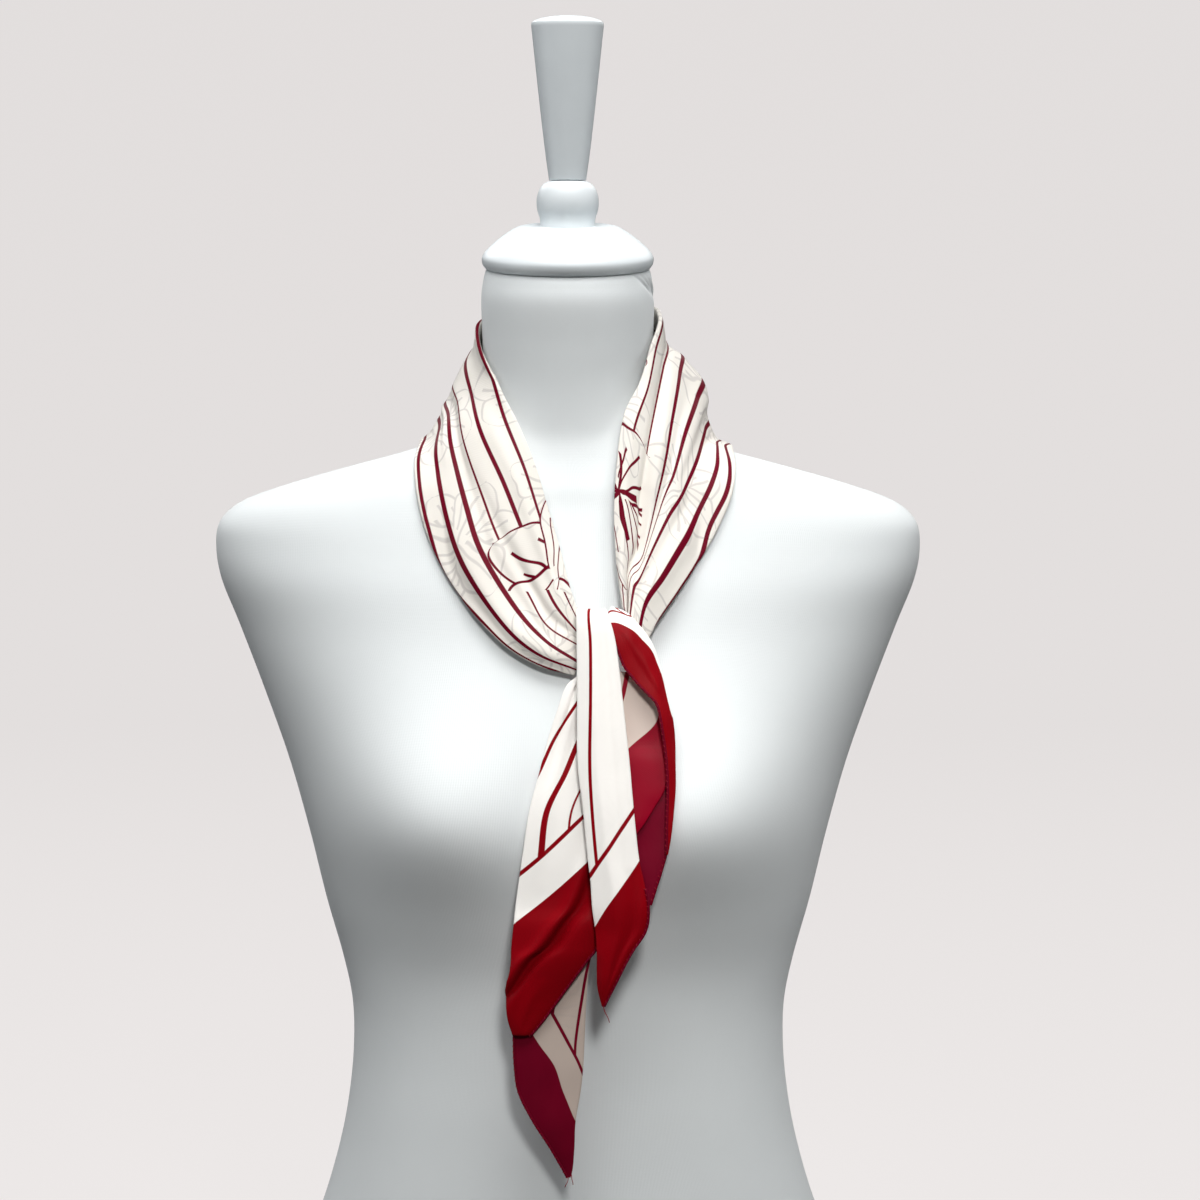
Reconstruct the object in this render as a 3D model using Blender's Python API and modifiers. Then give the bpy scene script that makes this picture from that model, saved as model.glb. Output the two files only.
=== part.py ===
"""Silk square scarf tied round the neck of a limbless dress form.

The scarf is a 90 cm square of silk twill, folded along its diagonal into a band of several
layers. The band runs from the knot over the left of the chest, round the back of the neck and
down the right side. Its two corners hang from the knot: the short one in front and the long one
behind it. The form is a padded jersey bust on a flat base, with a turned wooden neck cap, bead and
handle. X is the wearer's left-to-right as seen from the front, -Y is the front and +Z is up. The
origin is in the middle of the flat base.
"""

import math
from typing import NamedTuple

import bmesh
import bpy
from mathutils import Vector
from mathutils.bvhtree import BVHTree

MM = 0.001
COLLECTION = "silk_square_scarf_on_dress_form"

# Driving sizes, in millimetres.
GAP = 0.3
BAND_THICKNESS = 2.4
STRIP_THICKNESS = 2.4
LAYER_THICKNESS = 1.5
FORM_CLEARANCE = 0.8
BAND_CLEARANCE = 1.8
FORM_SEGMENTS = 56
STRIP_SEGMENTS = 12
ROWS_PER_SECTION = 3
COLUMNS_PER_GUIDE = 2
CAP_TILT = math.radians(6.0)
NECK_TILT_START_Z = 665.0
CAP_UNDERSIDE_Z = 708.4
CAP_SOCKET_DEPTH = 3.0
CAP_HEIGHT = 24.4
BEAD_FOOT_RADIUS = 15.8
BEAD_TOP_Z = 758.4
HANDLE_TOP_Z = 848.6
HANDLE_DOME = 4.0
TURNED_STEPS = 40

# Bust: a soft mound each side of the middle.
BUST_OFFSET_X = 78.0
BUST_HEIGHT_Z = 400.0
BUST_DEPTH = 23.0
BUST_SPREAD_X = 50.0
BUST_SPREAD_Z = 50.0
BUST_FADE = 2.5


class FormSection(NamedTuple):
    """One level cut through the form: half width, and depth in front of and behind its middle."""

    z: float
    half_width: float
    middle_y: float
    front: float
    back: float
    squareness: float


FORM_SECTIONS = [
    FormSection(0, 166, 8, 101, 116, 2.2),
    FormSection(5, 169, 8, 104, 119, 2.2),
    FormSection(45, 171, 8, 106, 120, 2.2),
    FormSection(90, 167, 8, 105, 114, 2.2),
    FormSection(128, 156, 8, 102, 104, 2.2),
    FormSection(164, 143.5, 8, 98, 94, 2.2),
    FormSection(195, 135, 8, 94, 86, 2.2),
    FormSection(222, 130, 8, 91, 82, 2.2),
    FormSection(250, 127.3, 8, 88, 79, 2.2),
    FormSection(278, 127.8, 8, 87, 77, 2.2),
    FormSection(305, 133.1, 8, 89, 77, 2.2),
    FormSection(340, 142.7, 8, 98, 79, 2.2),
    FormSection(380, 152.2, 8, 106, 83, 2.2),
    FormSection(421, 163.5, 8, 105, 87, 2.2),
    FormSection(460, 177, 8, 99.5, 89, 2.2),
    FormSection(500, 192, 8, 88.5, 89, 2.25),
    FormSection(528, 203, 8, 81, 86, 2.3),
    FormSection(548, 206, 8, 74, 81, 2.3),
    FormSection(562, 203, 8, 69, 76, 2.3),
    FormSection(573, 190, 8, 65, 72, 2.3),
    FormSection(583, 162, 8, 62, 69, 2.3),
    FormSection(593, 127, 8, 58, 66, 2.25),
    FormSection(602, 94, 7, 54, 62, 2.2),
    FormSection(612, 68, 6, 51, 57, 2.1),
    FormSection(624, 54.5, 5, 50, 54, 2.05),
    FormSection(642, 49.5, 3, 49, 52, 2),
    FormSection(665, 49.5, 1, 49, 51, 2),
    FormSection(690, 50.2, 0, 50, 50.4, 2),
    FormSection(701.8, 48.9, 0, 48.7, 49, 2),
    FormSection(707.6, 47.4, 0, 47, 47.4, 2),
]


class BandSection(NamedTuple):
    """One cut across the folded band: its upper edge, four lines along it and its lower edge."""

    place: str
    upper: tuple
    line_a: tuple
    line_b: tuple
    line_c: tuple
    line_d: tuple
    lower: tuple


LEFT_BAND = [
    BandSection("knot", (4, -88, 516), (2, -90, 506), (4, -92, 499), (4, -95, 489), (4, -95, 485), (4, -94, 482)),
    BandSection("by knot", (1, -84, 531), (-6, -88, 520), (-11, -90, 509), (-12, -93, 501), (-17, -94, 494), (-19, -91, 489)),
    BandSection("low chest", (-4, -78, 549), (-14, -82, 536), (-22, -84, 527), (-29, -86, 519), (-36, -88, 510), (-41, -85, 504)),
    BandSection("mid chest", (-12, -68, 575), (-26, -73, 564), (-38, -76, 556), (-48, -77, 549), (-57, -77, 540), (-65, -73, 533)),
    BandSection("high chest", (-19, -60, 597), (-36, -63, 588), (-48, -64, 580), (-57, -64, 574), (-68, -62, 568), (-80, -57, 563)),
    BandSection("collarbone", (-29, -48, 620), (-49, -46, 615), (-59, -44, 610), (-66, -42, 606), (-75, -41, 601), (-87, -38, 596)),
    BandSection("neck front", (-41, -32, 642), (-55, -22, 635), (-63, -18, 630), (-68, -15, 623), (-75, -14, 617), (-87, -13, 608)),
    BandSection("neck side", (-53, 2, 678), (-60, 6, 658), (-66, 8, 642), (-69, 9, 631), (-76, 10, 623), (-88, 12, 611)),
]
BACK_BAND = [
    BandSection("back left", (-40, 37, 686), (-45, 44, 668), (-50, 49, 651), (-53, 53, 638), (-58, 57, 624), (-65, 63, 605)),
    BandSection("back middle", (0, 54, 690), (1, 61, 671), (1, 65, 654), (1, 69, 640), (1, 73, 625), (1, 78, 605)),
    BandSection("back right", (41, 37, 687), (46, 44, 670), (52, 49, 653), (56, 53, 640), (62, 57, 625), (70, 62, 604)),
    BandSection("neck side", (54, 2, 681), (58, 6, 664), (65, 8, 657), (76, 9, 643), (82, 10, 620), (95, 12, 601)),
]
RIGHT_BAND = [
    BandSection("neck front", (48, -22, 662), (56, -18, 652), (64, -14, 646), (73, -13, 632), (80, -13, 614), (94, -14, 592)),
    BandSection("collarbone", (42, -36, 643), (51, -38, 630), (60, -37, 624), (67, -38, 615), (75, -40, 600), (92, -39, 578)),
    BandSection("high chest", (33, -48, 625), (46, -55, 608), (55, -54, 600), (61, -55, 594), (68, -58, 580), (84, -56, 560)),
    BandSection("mid chest", (29, -61, 600), (41, -65, 584), (49, -65, 577), (55, -67, 572), (61, -71, 562), (74, -69, 544)),
    BandSection("low chest", (27, -72, 572), (36, -77, 557), (42, -77, 551), (46, -79, 547), (52, -82, 539), (62, -80, 527)),
    BandSection("by knot", (28, -82, 545), (33, -86, 536), (37, -87, 531), (40, -88, 528), (44, -89, 521), (51, -87, 512)),
    BandSection("knot", (31, -88, 521), (33, -91, 517), (35, -92, 514), (37, -93, 511), (40, -93, 507), (45, -91, 502)),
]


class StripSection(NamedTuple):
    """One cut across a hanging layer, from its left edge to its right edge."""

    z: float
    left_x: float
    right_x: float
    left_y: float
    right_y: float


FRONT_TAIL = [
    StripSection(514, 9, 21, -87, -87),
    StripSection(518.5, 7, 21.5, -90, -90),
    StripSection(519, 6, 22, -97, -97),
    StripSection(514, 6, 24, -104, -104),
    StripSection(500, 6.3, 27.6, -108, -107),
    StripSection(472, 6.6, 31, -112, -111),
    StripSection(436, 6.8, 35, -116, -115),
    StripSection(409, 9.9, 37.4, -119, -118),
    StripSection(383, 12.4, 40.2, -121, -120),
    StripSection(370, 14, 43, -122, -121),
    StripSection(355, 15, 45.6, -123, -122),
    StripSection(342, 16.7, 44, -123, -122),
    StripSection(329, 17.4, 35.7, -124, -123),
    StripSection(312, 17.4, 27, -124, -124),
    StripSection(300, 20, 22, -124, -124),
]
FRONT_TAIL_FLAP = [
    StripSection(520, 24, 27, -94, -94),
    StripSection(514, 26, 35, -99, -98),
    StripSection(507, 29.5, 42, -102, -101),
    StripSection(499, 30.5, 46, -104, -102),
    StripSection(491, 32, 50.4, -106, -103),
    StripSection(484, 34, 53, -108, -105),
    StripSection(476, 40, 55, -109, -107),
    StripSection(469, 46.5, 56, -110, -108),
    StripSection(463, 51, 56.9, -110, -109),
]
FRONT_TAIL_BACK = [
    StripSection(484, 29, 47, -101, -99),
    StripSection(469, 30, 54, -104, -102),
    StripSection(455, 32, 58.6, -106, -104),
    StripSection(444, 33, 59.2, -108, -107),
    StripSection(420, 35, 58.5, -112, -113),
    StripSection(398, 37, 58, -114, -117),
    StripSection(386, 38.6, 56.3, -115, -117),
    StripSection(376, 39.7, 53.7, -116, -117),
    StripSection(366, 40.8, 50, -117, -117),
    StripSection(356, 42.4, 46.8, -117.5, -117.5),
]
REAR_TAIL = [
    StripSection(486, 11, 20, -90, -90),
    StripSection(478, 7, 20, -96, -96),
    StripSection(468, -2.4, 20, -99, -99),
    StripSection(441, -10.7, 21, -103, -103),
    StripSection(419, -17.3, 21, -106, -107),
    StripSection(400, -21.4, 21, -109, -110),
    StripSection(377, -24.4, 21, -111, -112),
    StripSection(357, -27.3, 20, -112, -114),
    StripSection(332, -29.9, 17.6, -113, -115),
    StripSection(324, -30.4, 11.6, -114, -115),
    StripSection(310, -32.3, 1.6, -114, -115),
    StripSection(300, -33.3, -5.5, -114, -115),
    StripSection(290, -32.3, -12.7, -114, -115),
    StripSection(281, -29.8, -20, -114, -115),
]
REAR_TAIL_CORNER = [
    StripSection(330, -24, 15, -110, -110),
    StripSection(318, -27, 12.5, -110, -110),
    StripSection(298, -29.5, 11, -110.5, -110.5),
    StripSection(276, -29.4, 10, -111, -111),
    StripSection(262, -28.8, 9.3, -111, -111),
    StripSection(248, -26.6, 7.7, -111, -111),
    StripSection(232, -18.6, 5, -112, -112),
    StripSection(218, -9.7, 4.4, -112, -112),
    StripSection(206, -2.8, 3.5, -112, -112),
    StripSection(200, 0, 2.2, -112, -112),
]
KNOT_CORE = [
    StripSection(509, 11, 25, -92, -92),
    StripSection(503, 8, 28, -92, -92),
    StripSection(497, 8, 28, -92, -92),
    StripSection(491, 12, 26, -92, -92),
]
KNOT_CORE_THICKNESS = 9.0
KNOT_MIDDLE_X = 17.0
BAND_SEAM_Y = 7.0

# A box that holds the whole band, for cutting it into its stretches.
REACH = 300.0
BAND_BOTTOM_Z = 300.0
BAND_TOP_Z = 800.0

# Turned profiles, as radius and height, from the top down the outer side.
CAP_PROFILE = [(25, 24.4), (30, 23.2), (36, 19.6), (42, 15), (47, 10.4), (49.4, 7), (49.8, 4.6), (49.2, 2), (47.6, 0)]
BEAD_PROFILE = [(9, 26), (12.5, 25.2), (15.6, 22.6), (17.4, 18.8), (18, 14.6), (17.5, 10.4), (16.3, 7), (15.8, 5)]
HANDLE_PROFILE = [(12, 96.2), (17, 95), (19.8, 93.6), (20.9, 92), (16.9, 52), (13.6, 22), (11.4, 5), (10.7, 0)]


def reset_scene() -> bpy.types.Collection:
    """Empties the scene and gives the object's collection."""
    for obj in list(bpy.data.objects):
        bpy.data.objects.remove(obj, do_unlink=True)
    collection = bpy.data.collections.new(COLLECTION)
    bpy.context.scene.collection.children.link(collection)
    return collection


def material(name: str, colour: tuple, roughness: float) -> bpy.types.Material:
    """A plain Principled finish for one sub-part."""
    mat = bpy.data.materials.new(name)
    mat.use_nodes = True
    shader = mat.node_tree.nodes["Principled BSDF"]
    shader.inputs["Base Color"].default_value = (*colour, 1.0)
    shader.inputs["Roughness"].default_value = roughness
    shader.inputs["Metallic"].default_value = 0.0
    mat.diffuse_color = (*colour, 1.0)
    return mat


def curve_point(p0: Vector, p1: Vector, p2: Vector, p3: Vector, t: float) -> Vector:
    """The point at t between p1 and p2 on a Catmull-Rom curve."""
    a = 2.0 * p1
    b = p2 - p0
    c = 2.0 * p0 - 5.0 * p1 + 4.0 * p2 - p3
    d = 3.0 * p1 - p0 - 3.0 * p2 + p3
    return 0.5 * (a + b * t + c * t * t + d * t * t * t)


def smooth_line(points: list, steps: int) -> list:
    """The points with `steps` spans between each pair, on one smooth curve."""
    ends = [2.0 * points[0] - points[1], *points, 2.0 * points[-1] - points[-2]]
    line = []
    for i in range(len(points) - 1):
        for step in range(steps):
            line.append(curve_point(ends[i], ends[i + 1], ends[i + 2], ends[i + 3], step / steps))
    line.append(points[-1].copy())
    return line


def form_ring(section: FormSection, lift: float = 0.0) -> list:
    """The form's outline at one level, with the bust's two mounds on its front."""
    ring = []
    power = 2.0 / section.squareness
    for i in range(FORM_SEGMENTS):
        angle = 2.0 * math.pi * i / FORM_SEGMENTS
        cos, sin = math.cos(angle), math.sin(angle)
        x = section.half_width * math.copysign(abs(cos) ** power, cos)
        depth = section.front if sin < 0 else section.back
        y = section.middle_y + depth * math.copysign(abs(sin) ** power, sin)
        if sin < 0:
            for side in (-1, 1):
                across = (x - side * BUST_OFFSET_X) / BUST_SPREAD_X
                along = (section.z - BUST_HEIGHT_Z) / BUST_SPREAD_Z
                y -= BUST_DEPTH * math.exp(-across * across - along * along) * min(1.0, -BUST_FADE * sin)
        ring.append(Vector((x, y, section.z + lift * y * math.tan(CAP_TILT))) * MM)
    return ring


def loft(name: str, rings: list) -> bpy.types.Object:
    """A closed solid through rings of equal count, with a face on each end."""
    bm = bmesh.new()
    rows = [[bm.verts.new(point) for point in ring] for ring in rings]
    count = len(rows[0])
    for low, high in zip(rows, rows[1:]):
        for i in range(count):
            j = (i + 1) % count
            bm.faces.new((low[i], low[j], high[j], high[i]))
    bm.faces.new(list(reversed(rows[0])))
    bm.faces.new(rows[-1])
    bmesh.ops.recalc_face_normals(bm, faces=bm.faces[:])
    mesh = bpy.data.meshes.new(name)
    bm.to_mesh(mesh)
    bm.free()
    mesh.shade_smooth()
    mesh.set_sharp_from_angle(angle=math.radians(50))
    return bpy.data.objects.new(name, mesh)


def make_form(collection: bpy.types.Collection) -> bpy.types.Object:
    """The padded bust: hips, waist, bust, shoulders and neck in one smooth body."""
    rings = []
    for section in FORM_SECTIONS:
        lift = max(0.0, (section.z - NECK_TILT_START_Z) / (FORM_SECTIONS[-1].z - NECK_TILT_START_Z))
        rings.append(form_ring(section, lift))
    form = loft("form_torso", rings)
    form.data.materials.append(material("jersey_cover", (0.80, 0.84, 0.85), 0.85))
    collection.objects.link(form)
    return form


def turned(name: str, profile: list, base_z: float) -> bpy.types.Object:
    """A solid turned about Z from radius and height pairs, closed on its axis."""
    points = [(0.0, profile[0][1]), *profile, (0.0, profile[-1][1])]
    bm = bmesh.new()
    verts = [bm.verts.new((radius * MM, 0.0, height * MM)) for radius, height in points]
    for a, b in zip(verts, verts[1:]):
        bm.edges.new((a, b))
    mesh = bpy.data.meshes.new(name)
    bm.to_mesh(mesh)
    bm.free()
    obj = bpy.data.objects.new(name, mesh)
    screw = obj.modifiers.new("Turn", "SCREW")
    screw.axis = "Z"
    screw.steps = TURNED_STEPS
    screw.render_steps = TURNED_STEPS
    screw.use_merge_vertices = True
    screw.merge_threshold = 0.00005
    screw.use_smooth_shade = True
    obj.location = (0.0, 0.0, base_z * MM)
    return obj


def make_finial(collection: bpy.types.Collection) -> None:
    """The tilted neck cap with its socket, and the bead and handle that stand upright in it."""
    wood = material("painted_wood", (0.86, 0.89, 0.91), 0.35)
    cap_top = CAP_UNDERSIDE_Z + CAP_HEIGHT * math.cos(CAP_TILT)
    top_y = -CAP_HEIGHT * math.sin(CAP_TILT)
    socket_floor = cap_top - CAP_SOCKET_DEPTH

    cap = turned("form_neck_cap", CAP_PROFILE, CAP_UNDERSIDE_Z)
    cap.rotation_euler = (CAP_TILT, 0.0, 0.0)
    cap.data.materials.append(wood)
    collection.objects.link(cap)

    cutters = bpy.data.collections.new("cutters")
    bpy.context.scene.collection.children.link(cutters)
    bpy.ops.mesh.primitive_cylinder_add(
        vertices=TURNED_STEPS, radius=(BEAD_FOOT_RADIUS + GAP) * MM, depth=40 * MM,
        location=(0.0, top_y * MM, (socket_floor + 20) * MM),
    )
    cutter = bpy.context.object
    cutter.name = "socket_cutter"
    for owner in list(cutter.users_collection):
        owner.objects.unlink(cutter)
    cutters.objects.link(cutter)
    cutter.hide_render = True
    cutter.display_type = "WIRE"
    cut = cap.modifiers.new("Socket", "BOOLEAN")
    cut.operation = "DIFFERENCE"
    cut.solver = "EXACT"
    cut.object = cutter

    foot_z = socket_floor + GAP
    bead_scale = (BEAD_TOP_Z - foot_z) / BEAD_PROFILE[0][1]
    bead_profile = [(radius, height * bead_scale) for radius, height in BEAD_PROFILE]
    bead_profile.append((BEAD_FOOT_RADIUS, 0.0))
    bead = turned("form_finial_bead", bead_profile, foot_z)
    handle_base = BEAD_TOP_Z + GAP
    handle_scale = (HANDLE_TOP_Z + HANDLE_DOME - handle_base) / HANDLE_PROFILE[0][1]
    handle_profile = [(radius, height * handle_scale) for radius, height in HANDLE_PROFILE]
    handle = turned("form_finial_handle", handle_profile, handle_base)
    for obj in (bead, handle):
        obj.location.y = top_y * MM
        obj.data.materials.append(wood)
        collection.objects.link(obj)


def form_tree(form: bpy.types.Object) -> BVHTree:
    """The form's surface, for measuring how far cloth stands from it."""
    bm = bmesh.new()
    bm.from_mesh(form.data)
    tree = BVHTree.FromBMesh(bm)
    bm.free()
    return tree


def clear_of_form(point: Vector, tree: BVHTree, distance: float) -> Vector:
    """The point, moved out along the form's surface normal where it is nearer than `distance`."""
    place, normal, _, _ = tree.find_nearest(point)
    if (point - place).dot(normal) < distance:
        return place + normal * distance
    return point


def band_surface(tree: BVHTree) -> bpy.types.Mesh:
    """The whole band's outer face, lofted from the knot round the neck and back to the knot."""
    sections = [*LEFT_BAND, *BACK_BAND, *RIGHT_BAND]
    guides = []
    for column in range(1, len(BandSection._fields)):
        guides.append(smooth_line([Vector(section[column]) * MM for section in sections], ROWS_PER_SECTION))
    reach = (BAND_THICKNESS + BAND_CLEARANCE) * MM
    bm = bmesh.new()
    rows = []
    for row in range(len(guides[0])):
        across = smooth_line([guide[row] for guide in guides], COLUMNS_PER_GUIDE)
        rows.append([bm.verts.new(clear_of_form(point, tree, reach)) for point in across])
    for near, far in zip(rows, rows[1:]):
        for i in range(len(near) - 1):
            bm.faces.new((near[i], near[i + 1], far[i + 1], far[i]))
    bm.normal_update()
    middle = rows[len(rows) // 2][len(rows[0]) // 2]
    outward = middle.co - tree.find_nearest(middle.co)[0]
    if middle.link_faces[0].normal.dot(outward) < 0:
        bmesh.ops.reverse_faces(bm, faces=bm.faces[:])
    mesh = bpy.data.meshes.new("scarf_band")
    bm.to_mesh(mesh)
    bm.free()
    mesh.shade_smooth()
    return mesh


def box_cutter(name: str, low: tuple, high: tuple, cutters: bpy.types.Collection) -> bpy.types.Object:
    """A hidden box between two corners given in millimetres."""
    middle = [(a + b) / 2.0 * MM for a, b in zip(low, high)]
    size = [(b - a) * MM for a, b in zip(low, high)]
    bpy.ops.mesh.primitive_cube_add(size=1.0, location=middle)
    cutter = bpy.context.object
    cutter.name = name
    cutter.scale = size
    for owner in list(cutter.users_collection):
        owner.objects.unlink(cutter)
    cutters.objects.link(cutter)
    cutter.hide_render = True
    cutter.display_type = "WIRE"
    return cutter


def make_band(tree: BVHTree, cloth: bpy.types.Material, collection: bpy.types.Collection) -> None:
    """The folded band's three stretches, each the part of one curved wall within its own box."""
    cutters = bpy.data.collections.new("band_cutters")
    bpy.context.scene.collection.children.link(cutters)
    front_end = BAND_SEAM_Y - GAP / 2.0
    back_end = BAND_SEAM_Y + GAP / 2.0
    boxes = {
        "scarf_left_band": ((-REACH, -REACH, BAND_BOTTOM_Z), (KNOT_MIDDLE_X, front_end, BAND_TOP_Z)),
        "scarf_right_band": ((KNOT_MIDDLE_X, -REACH, BAND_BOTTOM_Z), (REACH, front_end, BAND_TOP_Z)),
        "scarf_back_band": ((-REACH, back_end, BAND_BOTTOM_Z), (REACH, REACH, BAND_TOP_Z)),
    }
    mesh = band_surface(tree)
    for name, (low, high) in boxes.items():
        obj = bpy.data.objects.new(name, mesh.copy())
        wall = obj.modifiers.new("Layers", "SOLIDIFY")
        wall.thickness = BAND_THICKNESS * MM
        wall.offset = -1.0
        wall.use_even_offset = False
        part = obj.modifiers.new("Stretch", "BOOLEAN")
        part.operation = "INTERSECT"
        part.solver = "EXACT"
        part.object = box_cutter(name + "_box", low, high, cutters)
        obj.data.materials.append(cloth)
        collection.objects.link(obj)


def strip_ring(sections: list, index: int, thickness: float) -> list:
    """A flat ring with round edges across one section of a hanging layer."""
    section = sections[index]
    before = sections[max(index - 1, 0)]
    after = sections[min(index + 1, len(sections) - 1)]
    run = Vector((0.0, after.left_y - before.left_y, after.z - before.z)).normalized()
    out = Vector((0.0, run.z, -run.y))
    left = Vector((section.left_x, section.left_y, section.z))
    right = Vector((section.right_x, section.right_y, section.z))
    half = min(thickness, 0.8 * (section.right_x - section.left_x)) / 2.0
    ring = []
    for i in range(STRIP_SEGMENTS):
        angle = 2.0 * math.pi * i / STRIP_SEGMENTS
        cos, sin = math.cos(angle), math.sin(angle)
        share = 0.5 + 0.5 * math.copysign(abs(cos) ** 0.6, cos)
        bulge = math.copysign(abs(sin) ** 0.7, sin) * half
        ring.append((left.lerp(right, share) + out * bulge) * MM)
    return ring


def make_strip(
    name: str, sections: list, thickness: float, tree: BVHTree,
    cloth: bpy.types.Material, collection: bpy.types.Collection,
) -> bpy.types.Object:
    """A hanging layer of the scarf, a closed flat body that clears the form as a whole row."""
    rings = []
    for index in range(len(sections)):
        ring = strip_ring(sections, index, thickness)
        nearest = FORM_CLEARANCE * MM
        short = 0.0
        for point in ring:
            place, normal, _, _ = tree.find_nearest(point)
            short = max(short, nearest - (point - place).dot(normal))
        rings.append([point + Vector((0.0, -short, 0.0)) for point in ring])
    obj = loft(name, rings)
    obj.data.materials.append(cloth)
    collection.objects.link(obj)
    return obj


def make_scarf(tree: BVHTree, collection: bpy.types.Collection) -> None:
    """The stretches of the scarf that show, from the band round the neck to the two tails."""
    silk = material("printed_silk", (0.93, 0.89, 0.84), 0.4)
    border = material("crimson_border", (0.36, 0.0, 0.02), 0.4)
    make_band(tree, silk, collection)
    make_strip("scarf_knot_core", KNOT_CORE, KNOT_CORE_THICKNESS, tree, silk, collection)
    make_strip("scarf_front_tail", FRONT_TAIL, STRIP_THICKNESS, tree, silk, collection)
    make_strip("scarf_front_tail_flap", FRONT_TAIL_FLAP, LAYER_THICKNESS, tree, border, collection)
    make_strip("scarf_front_tail_back", FRONT_TAIL_BACK, LAYER_THICKNESS, tree, border, collection)
    make_strip("scarf_rear_tail", REAR_TAIL, LAYER_THICKNESS, tree, silk, collection)
    make_strip("scarf_rear_tail_corner", REAR_TAIL_CORNER, LAYER_THICKNESS, tree, border, collection)


def main() -> None:
    """Builds the form, its turned wooden parts and the scarf."""
    collection = reset_scene()
    form = make_form(collection)
    make_finial(collection)
    make_scarf(form_tree(form), collection)


main()
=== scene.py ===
"""Silk square scarf tied round the neck of a limbless dress form: the finished surfaces.

The scarf is a 90 cm square of cream silk twill with a crimson border, diagonal stripes and line
flowers, folded along its diagonal, wound round the neck of a jersey-covered bust and tied at the
front. Each stretch of cloth is a sheet laid through a few guide lines, with a place in the flat
square kept as its UV map. Those places are given so that the border and stripes fall where
they are seen; they aren't an exact unrolling. Sizes are in millimetres until `MM` turns them into
metres.
"""

import logging
import math
from dataclasses import dataclass, field
from enum import Enum
from typing import NamedTuple, Sequence

import bmesh
import bpy
import numpy as np
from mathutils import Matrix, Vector
from mathutils.bvhtree import BVHTree


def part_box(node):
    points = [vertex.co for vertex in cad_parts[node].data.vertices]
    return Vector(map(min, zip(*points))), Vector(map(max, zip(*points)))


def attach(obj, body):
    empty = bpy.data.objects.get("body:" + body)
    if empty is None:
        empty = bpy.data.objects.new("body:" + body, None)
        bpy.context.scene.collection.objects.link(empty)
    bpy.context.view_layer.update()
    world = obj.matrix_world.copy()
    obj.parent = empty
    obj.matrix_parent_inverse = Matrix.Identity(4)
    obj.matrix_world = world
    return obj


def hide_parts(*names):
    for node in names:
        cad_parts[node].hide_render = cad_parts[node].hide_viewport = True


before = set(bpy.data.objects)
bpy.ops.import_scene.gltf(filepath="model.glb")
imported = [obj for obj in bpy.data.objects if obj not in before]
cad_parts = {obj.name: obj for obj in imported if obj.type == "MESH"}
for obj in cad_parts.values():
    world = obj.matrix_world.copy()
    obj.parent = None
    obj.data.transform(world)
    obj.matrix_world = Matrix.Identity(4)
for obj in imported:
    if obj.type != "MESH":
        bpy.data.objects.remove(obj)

MM = 0.001
BODY = "root"
HEM_PLACE = 600.0  # a place in the flat square that is well inside its border
log = logging.getLogger("scarf")


# --------------------------------------------------------------------------------------------
# Curves and meshes
# --------------------------------------------------------------------------------------------

def spline(points: np.ndarray, count: int) -> np.ndarray:
    """Reads a smooth curve through points at even steps.

    Args:
        points: Points along the first axis, of any further shape.
        count: How many points to return.

    Returns:
        The curve's points, the first and last being the ends given.
    """
    ends = np.concatenate([2 * points[:1] - points[1:2], points, 2 * points[-1:] - points[-2:-1]])
    place = np.linspace(0, len(points) - 1, count)
    index = np.minimum(place.astype(int), len(points) - 2)
    t = (place - index).reshape(-1, *[1] * (points.ndim - 1))
    p0, p1, p2, p3 = (ends[index + k] for k in range(4))
    linear = (p2 - p0) * t
    square = (2 * p0 - 5 * p1 + 4 * p2 - p3) * t**2
    cubic = (3 * p1 - p0 - 3 * p2 + p3) * t**3
    return 0.5 * (2 * p1 + linear + square + cubic)


def steady(values: np.ndarray, count: int) -> np.ndarray:
    """Reads values at even steps on a smooth curve that never swings past its own points.

    Args:
        values: Values along the first axis, of any further shape.
        count: How many to return.
    """
    step = np.diff(values, axis=0)
    before, after = step[:-1], step[1:]
    total = np.where(before * after > 0, before + after, 1.0)
    inner = np.where(before * after > 0, 2 * before * after / total, 0.0)
    slope = np.concatenate([step[:1], inner, step[-1:]])
    place = np.linspace(0, len(values) - 1, count)
    index = np.minimum(place.astype(int), len(values) - 2)
    t = (place - index).reshape(-1, *[1] * (values.ndim - 1))
    from_low = (2 * t**3 - 3 * t**2 + 1) * values[index] + (t**3 - 2 * t**2 + t) * slope[index]
    return from_low + (3 * t**2 - 2 * t**3) * values[index + 1] + (t**3 - t**2) * slope[index + 1]


def cut_of(grid: np.ndarray) -> tuple:
    """The size of a grid of cloth, measured along the cloth itself.

    Args:
        grid: The cloth's points in millimetres, with rows along it and columns across.

    Returns:
        The longest row's and the longest column's length in metres, and the area in square metres.
    """
    across, along = np.diff(grid, axis=1), np.diff(grid, axis=0)
    area = np.linalg.norm(np.cross(across[:-1], along[:, :-1]), axis=2).sum()
    width = np.linalg.norm(across, axis=2).sum(axis=1).max()
    length = np.linalg.norm(along, axis=2).sum(axis=0).max()
    return (width * MM, length * MM), area * MM * MM


def arc_lengths(points: np.ndarray) -> np.ndarray:
    """The distance along a line of points at each of them, from zero."""
    steps = np.linalg.norm(np.diff(points, axis=0), axis=1)
    return np.concatenate([[0.0], np.cumsum(steps)])


def grid_normals(grid: np.ndarray) -> np.ndarray:
    """Unit normals of a grid of points, along rows crossed with along columns."""
    along = np.gradient(grid, axis=0)
    across = np.gradient(grid, axis=1)
    normal = np.cross(across, along)
    return normal / np.maximum(np.linalg.norm(normal, axis=2, keepdims=True), 1e-12)


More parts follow.
